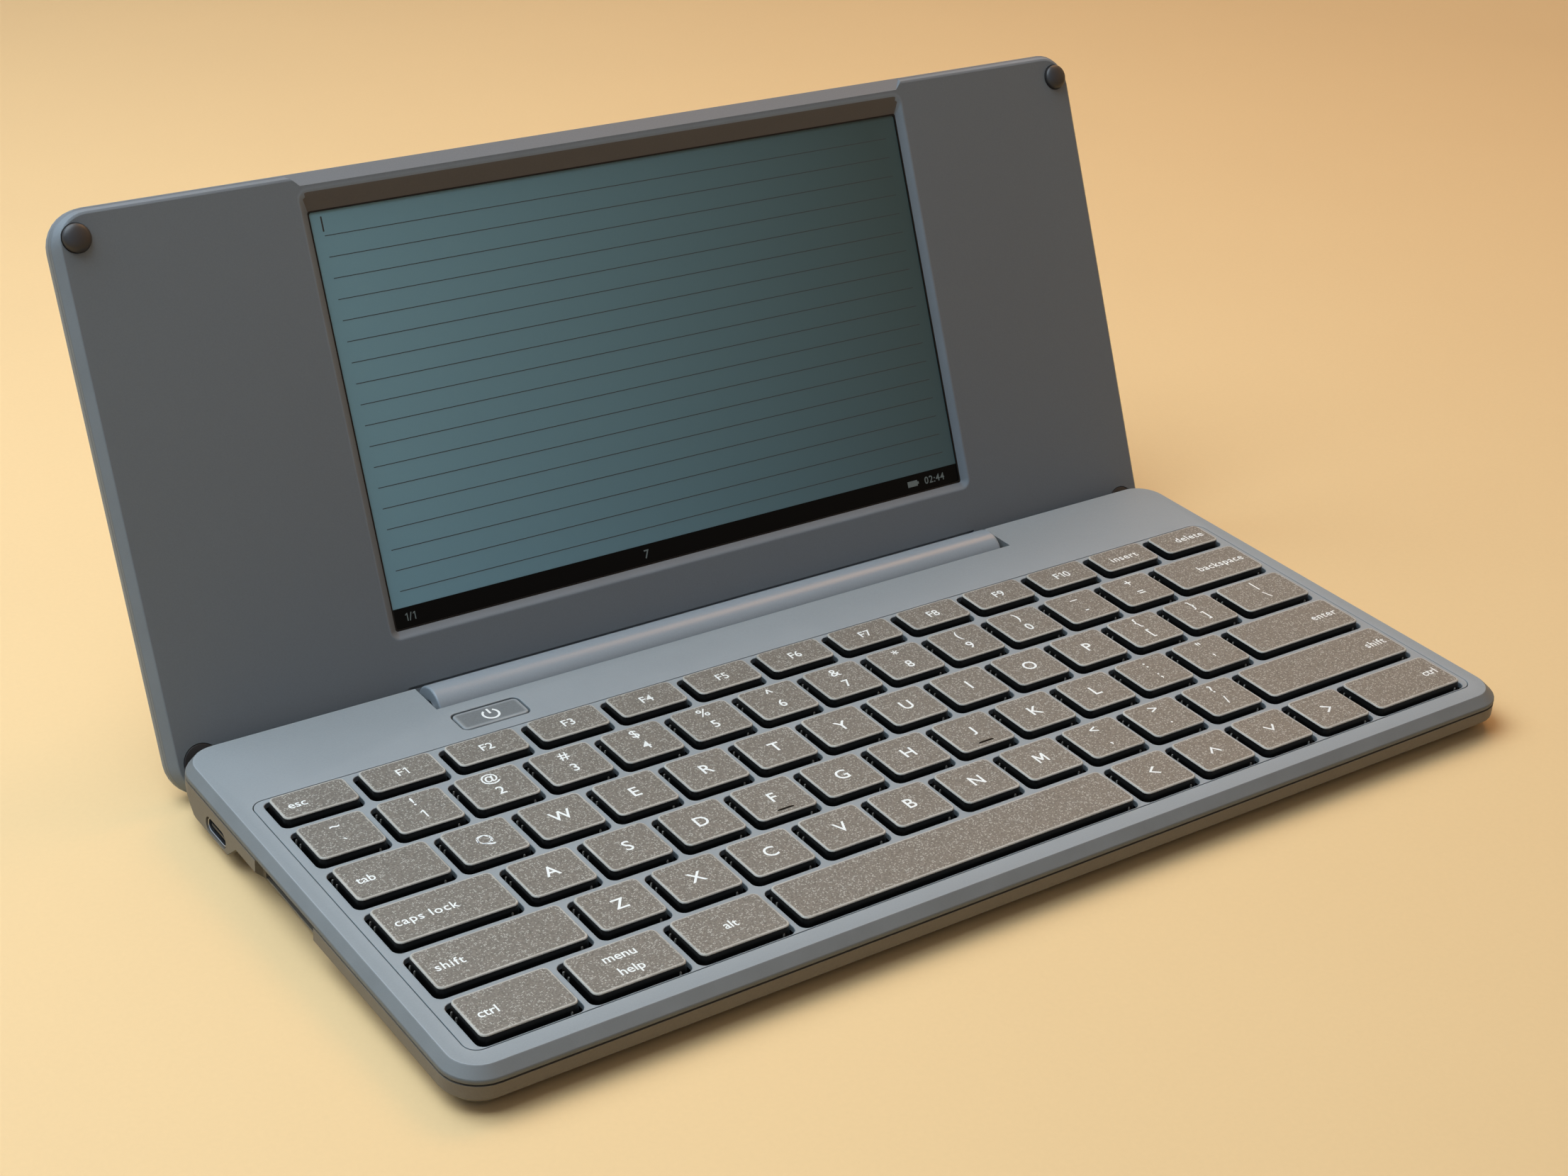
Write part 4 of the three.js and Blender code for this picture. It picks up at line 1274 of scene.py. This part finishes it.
# %% Rear cover of the lid
def rear_cover():
    wall, rim = 1.3, -8.8
    inside = [(back_z + 1.2, wall + 0.75), (back_z + 1.95, wall), (rim, wall)]
    outside = eased([(rim, 0.5), (rim, 0.0), (back_z + 1.5, 0.0), (back_z, 1.5),
                     (back_z, 4.0)], 0.8, steps=5)
    rings = [at(z, lid_outline(inset, inset, inset)) for z, inset in [*inside, *outside]]
    # The cover wears the lid's plastic, painted darker as painted shade.
    return skin_piece("lid_cover", rings, LID, slate_lid_painted_shade, edge_rings=range(9, 21))


attach(rear_cover(), "lid", "shell", "lid_rear_cover")
tell()


# %% [markdown]
# The screen is a reflective display: a dark greenish grey film behind a thin black gasket.
# Its colour is painted lighter at the left and darker at the right, as a painted
# reflection of the room. The change runs across the film at a slant, so it is measured
# along a slanted direction.

# %% Display film and gasket
fine_grain = (6000, 0.02, 0.05)
panel_top, panel_thickness, gasket_height = -7.4, 1.4, 0.26
reflection_start, reflection_end = -0.07, 0.1


def display_film_painted_reflection():
    material = finish("display_film_painted_reflection", paint(72, 92, 97), 0.35, cloud=0.01, grain=fine_grain,
                      Specular_IOR_Level=0.2)
    tree = material.node_tree
    # The film runs from light at the left to dark at the right: a painted reflection of the
    # room.
    slant = LID.to_3x3() @ Vector((1, 0.3, 0))
    reach = add_node(tree, "VectorMath", {0: own_place(tree), 1: slant},
                     operation="DOT_PRODUCT")["Value"]
    middle = slant.dot(LID.translation)
    painted_reflection_share = map_range(tree, reach, middle + reflection_start, middle + reflection_end)
    painted_reflection_colour = blend_colour(tree, painted_reflection_share, paint(121, 158, 170), paint(67, 86, 87))
    skin = next(node for node in tree.nodes if node.type == "GROUP")
    tree.links.new(painted_reflection_colour, skin.inputs["Colour"])
    return material


def gasket():
    outer, inner = window_outline(0, -2.0), window_outline(0, 0.35)
    low, high = panel_top, panel_top + gasket_height
    return skin_piece("display_gasket", [at(low, outer), at(high, outer), at(high, inner),
                                         at(low, inner), at(low, outer)],
                      LID, well_black, closed=False)


film = display_film_painted_reflection()
panel = outline(-80.4, 80.4, 13.5, 110.9, 0.5, 3)
panel_rings = [at(z, panel) for z in (panel_top - panel_thickness, panel_top)]
attach(skin_piece("display_panel", panel_rings, LID, film), "lid", "screen", "lcd_panel")
attach(gasket(), "lid", "rubber")
tell()


# %% [markdown]
# What the display shows is drawn as very thin solids on the film, like the legends: a
# ruled page with a text cursor, and a status bar with a battery sign and plain digits.

# %% What the display shows
bar_black = finish("status_bar_black", paint(10, 11, 11), 0.4, grain=fine_grain,
                   Specular_IOR_Level=0.05)
ink = finish("display_ink", paint(42, 56, 60), 0.35, grain=fine_grain)
ink_dark = finish("display_ink_dark", paint(16, 22, 22), 0.35, grain=fine_grain)
bar_print = finish("status_bar_digits", paint(104, 118, 118), 0.35, grain=fine_grain)
first_line, line_pitch, lines, line_half = 101.8, 4.5, 18, 0.09
bar_text, count_text, bar_baseline = 1.7, 1.9, 18.8
on_bar = panel_top + print_depth


def strips(name, places, height, material):
    """Thin printed bars: each (left, right, front, rear)."""
    bm = bmesh.new()
    for left, right, front, rear in places:
        shape = [(left, front), (right, front), (right, rear), (left, rear)]
        add_skin(bm, [at(height, shape), at(height + print_depth, shape)])
    attach(model(name, bm, LID, material), "lid", "screen")


rules = [first_line - line_pitch * number for number in range(lines)]
strips("display_rules", [(-73.8, 73.2, y - line_half, y + line_half) for y in rules],
       panel_top, ink)
strips("display_cursor", [(-74.0, -73.65, 102.7, 105.9)], panel_top, ink_dark)
strips("status_bar", [(-76.45, 76.45, 17.45, 21.8)], panel_top, bar_black)
strips("battery_sign", [(61.3, 64.2, 18.9, 20.3), (64.2, 64.6, 19.3, 19.9)], on_bar,
       bar_print)
clock = set_text("02:44", bar_text, 66.4, bar_baseline, "left")
page = set_text("1/1", bar_text, -73.8, bar_baseline, "left")
count = set_text("7", count_text, -13.0, bar_baseline - 0.1)
digits = print_solid("status_digits", clock + page + count, on_bar, LID, bar_print)
attach(digits, "lid", "screen")
tell()


# %% [markdown]
# The hinge barrel is a long satin tube across the rear of the deck. Its skin runs along
# X from the bore in one end over the rounded rim to the other end. A flat neck joins it
# to the lid through a slot in the bezel.

# %% Hinge barrel
barrel_half, barrel_radius, bore_radius, barrel_steps = 76, 5.4, 2.1, 48


def hinge_barrel():
    end = eased([(-64.7, bore_radius), (-barrel_half, bore_radius),
                 (-barrel_half, barrel_radius), (-70, barrel_radius)], 0.5)
    stations = [*end, *((-x, radius) for x, radius in reversed(end))]
    rings = [[(x, y, z) for y, z in circle(0, 0, radius, barrel_steps)]
             for x, radius in stations]
    barrel = skin_piece("hinge_barrel_tube", rings, LID, satin_slate)
    carve(barrel, block("neck", (-60, 60), (-1.5, 1.5), (face_z - 2.6, -2), 0.3, LID),
          how="UNION")
    return barrel


attach(hinge_barrel(), "lid", "barrel", "hinge_barrel")
tell()


# %% [markdown]
# Two domed rubber pads at the top corners of the lid keep the closed lid off the deck,
# and two flat ones cover screws at its lower corners. They are turned shapes: one
# profile, swept round its axis.

# %% Rubber pads
def turned(name, x, y, profile, place, *finishes):
    rings = [at(z, circle(x, y, radius, 40)) for z, radius in profile]
    return skin_piece(name, rings, place, *finishes, sharp=50)


dome_radius, dome_foot, dome_height = 2.95, -5.45, 1.3
dome_turns = [step / 8.4 * math.pi / 2 for step in range(1, 9)]
dome = [(-6.25, dome_radius), (dome_foot, dome_radius)]
dome += [(dome_foot + dome_height * math.sin(turn), dome_radius * math.cos(turn))
         for turn in dome_turns]
flat_pad = eased([(-6.7, 3.85), (-5.92, 3.85), (-5.92, 2.0)], 0.2)
for side, hand in ((-1, "left"), (1, "right")):
    attach(turned(f"bumper_{hand}", side * bumper_x, bumper_y, dome, LID, rubber),
           "lid", "rubber", f"lid_bumper_{hand}")
    attach(turned(f"flat_pad_{hand}", side * pad_x, pad_y, flat_pad, LID, rubber),
           "lid", "rubber", f"lid_lower_cap_{hand}")
tell()


# %% [markdown]
# The power button is lacquered like the keys and lies flush with the deck, with a dark
# gap round it. Its sign, a circle broken by a stroke, is printed like the legends.

# %% Power button
def power_button():
    walls = lip(lambda grow: rect(power, grow), 0.35, -0.9, -1)
    rings = [at(-2.4, rect(power, 0)), *reversed(walls), at(0, rect(power, -1.0))]
    return skin_piece("power_button_cap", rings, BASE, button_lacquer,
                      edge_rings=range(2, 6), sharp=50)


def power_sign(radius=1.75, stroke=0.5, gap=0.62, steps=28):
    half = stroke / 2
    turns = [math.pi / 2 + gap + (2 * math.pi - 2 * gap) * step / steps
             for step in range(steps + 1)]
    points = [(r * math.cos(turn), r * math.sin(turn)) for turn in turns
              for r in (radius - half, radius + half)]
    faces = [(2 * n, 2 * n + 1, 2 * n + 3, 2 * n + 2) for n in range(steps)]
    bar = [(-half, 0.2), (half, 0.2), (half, 2.1), (-half, 2.1)]
    centre = (power_x, power_y - 0.1)
    return [(points, faces, centre), (bar, [(0, 1, 2, 3)], centre)]


attach(power_button(), "power_button_body", "deck", "power_button")
attach(print_solid("power_sign", power_sign(), 0.0, BASE), "power_button_body", "deck")
tell()


# %% [markdown]
# Small parts of the base: the steel shell of the USB-C socket with its black tongue, the
# rubber feet, and six cross-head screws on the underside.

# %% Socket, feet and screws
socket_stations = [(-125.7, 8.34, 2.56), (-131.1, 8.34, 2.56), (-131.2, 8.54, 2.76),
                   (-131.2, 8.74, 2.96), (-131.1, 8.94, 3.16), (-123.9, 8.94, 3.16)]
tongue_stations = [(-125.7, 6.7, 0.7), (-130.7, 6.7, 0.7), (-130.9, 6.4, 0.5)]
screw_profile = [(-7.95, 1.4), (-7.95, 2.2), (-8.15, 2.5), (-8.3, 2.45), (-8.42, 2.0),
                 (-8.46, 1.0)]
cross_long, cross_wide, cross_floors = 1.3, 0.28, (-8.1, -8.06)

attach(skin_piece("usb_socket_shell", slot_rings(socket_stations), BASE, steel),
       "base", "steel", "usb_c_receptacle")
attach(skin_piece("usb_socket_tongue", slot_rings(tongue_stations), BASE, tongue_black),
       "base", "steel")

for name, (front, _, sole) in feet.items():
    sizes = {"left": -foot_half, "right": foot_half, "front": front,
             "rear": front + foot_width, "corner": foot_corner}
    levels = eased([(sole, -1.0), (sole, 0.0), (sole + 1.1, 0.0)], 0.3)
    foot = skin_piece(f"foot_{name}", [at(z, rect(sizes, grow)) for z, grow in levels], BASE,
                      rubber)
    attach(foot, "base", "rubber", f"{name}_foot_strip")


def screw(number, x, y):
    """A screw head with a cross recess, cut by two bars of slightly different depth."""
    head = turned(f"screw_{number}", x, y, screw_profile, BASE, steel)
    halves = ((cross_long, cross_wide), (cross_wide, cross_long))
    carve(head, *(block("cross", (x - long, x + long), (y - wide, y + wide), (-9, floor_z),
                        0.1, BASE, 2) for (long, wide), floor_z in zip(halves, cross_floors)))
    return head


for number, (x, y) in enumerate(screw_places):
    attach(screw(number, x, y), "base", "steel")
tell()


# %% [markdown]
# The parts inside stay as the CAD made them, because nobody sees them from near by. They
# only get their finishes.

# %% Inner parts
inner_finishes = {
    "key_switch_sheet": well_black, "key_support_plate": zinc, "battery_pack": cell_foil,
    "main_board": board_green, "card_socket": zinc, "hinge_clip_left": steel,
    "hinge_clip_right": steel, "lcd_tray": zinc,
}
for node, material in inner_finishes.items():
    slots = frame["nodes"][node].data.materials
    if slots:
        slots[0] = material
    else:
        slots.append(material)
print("inner parts", len(inner_finishes))

# %% [markdown]
# At the end the view layer is updated once more.

# %% Final update
bpy.context.view_layer.update()
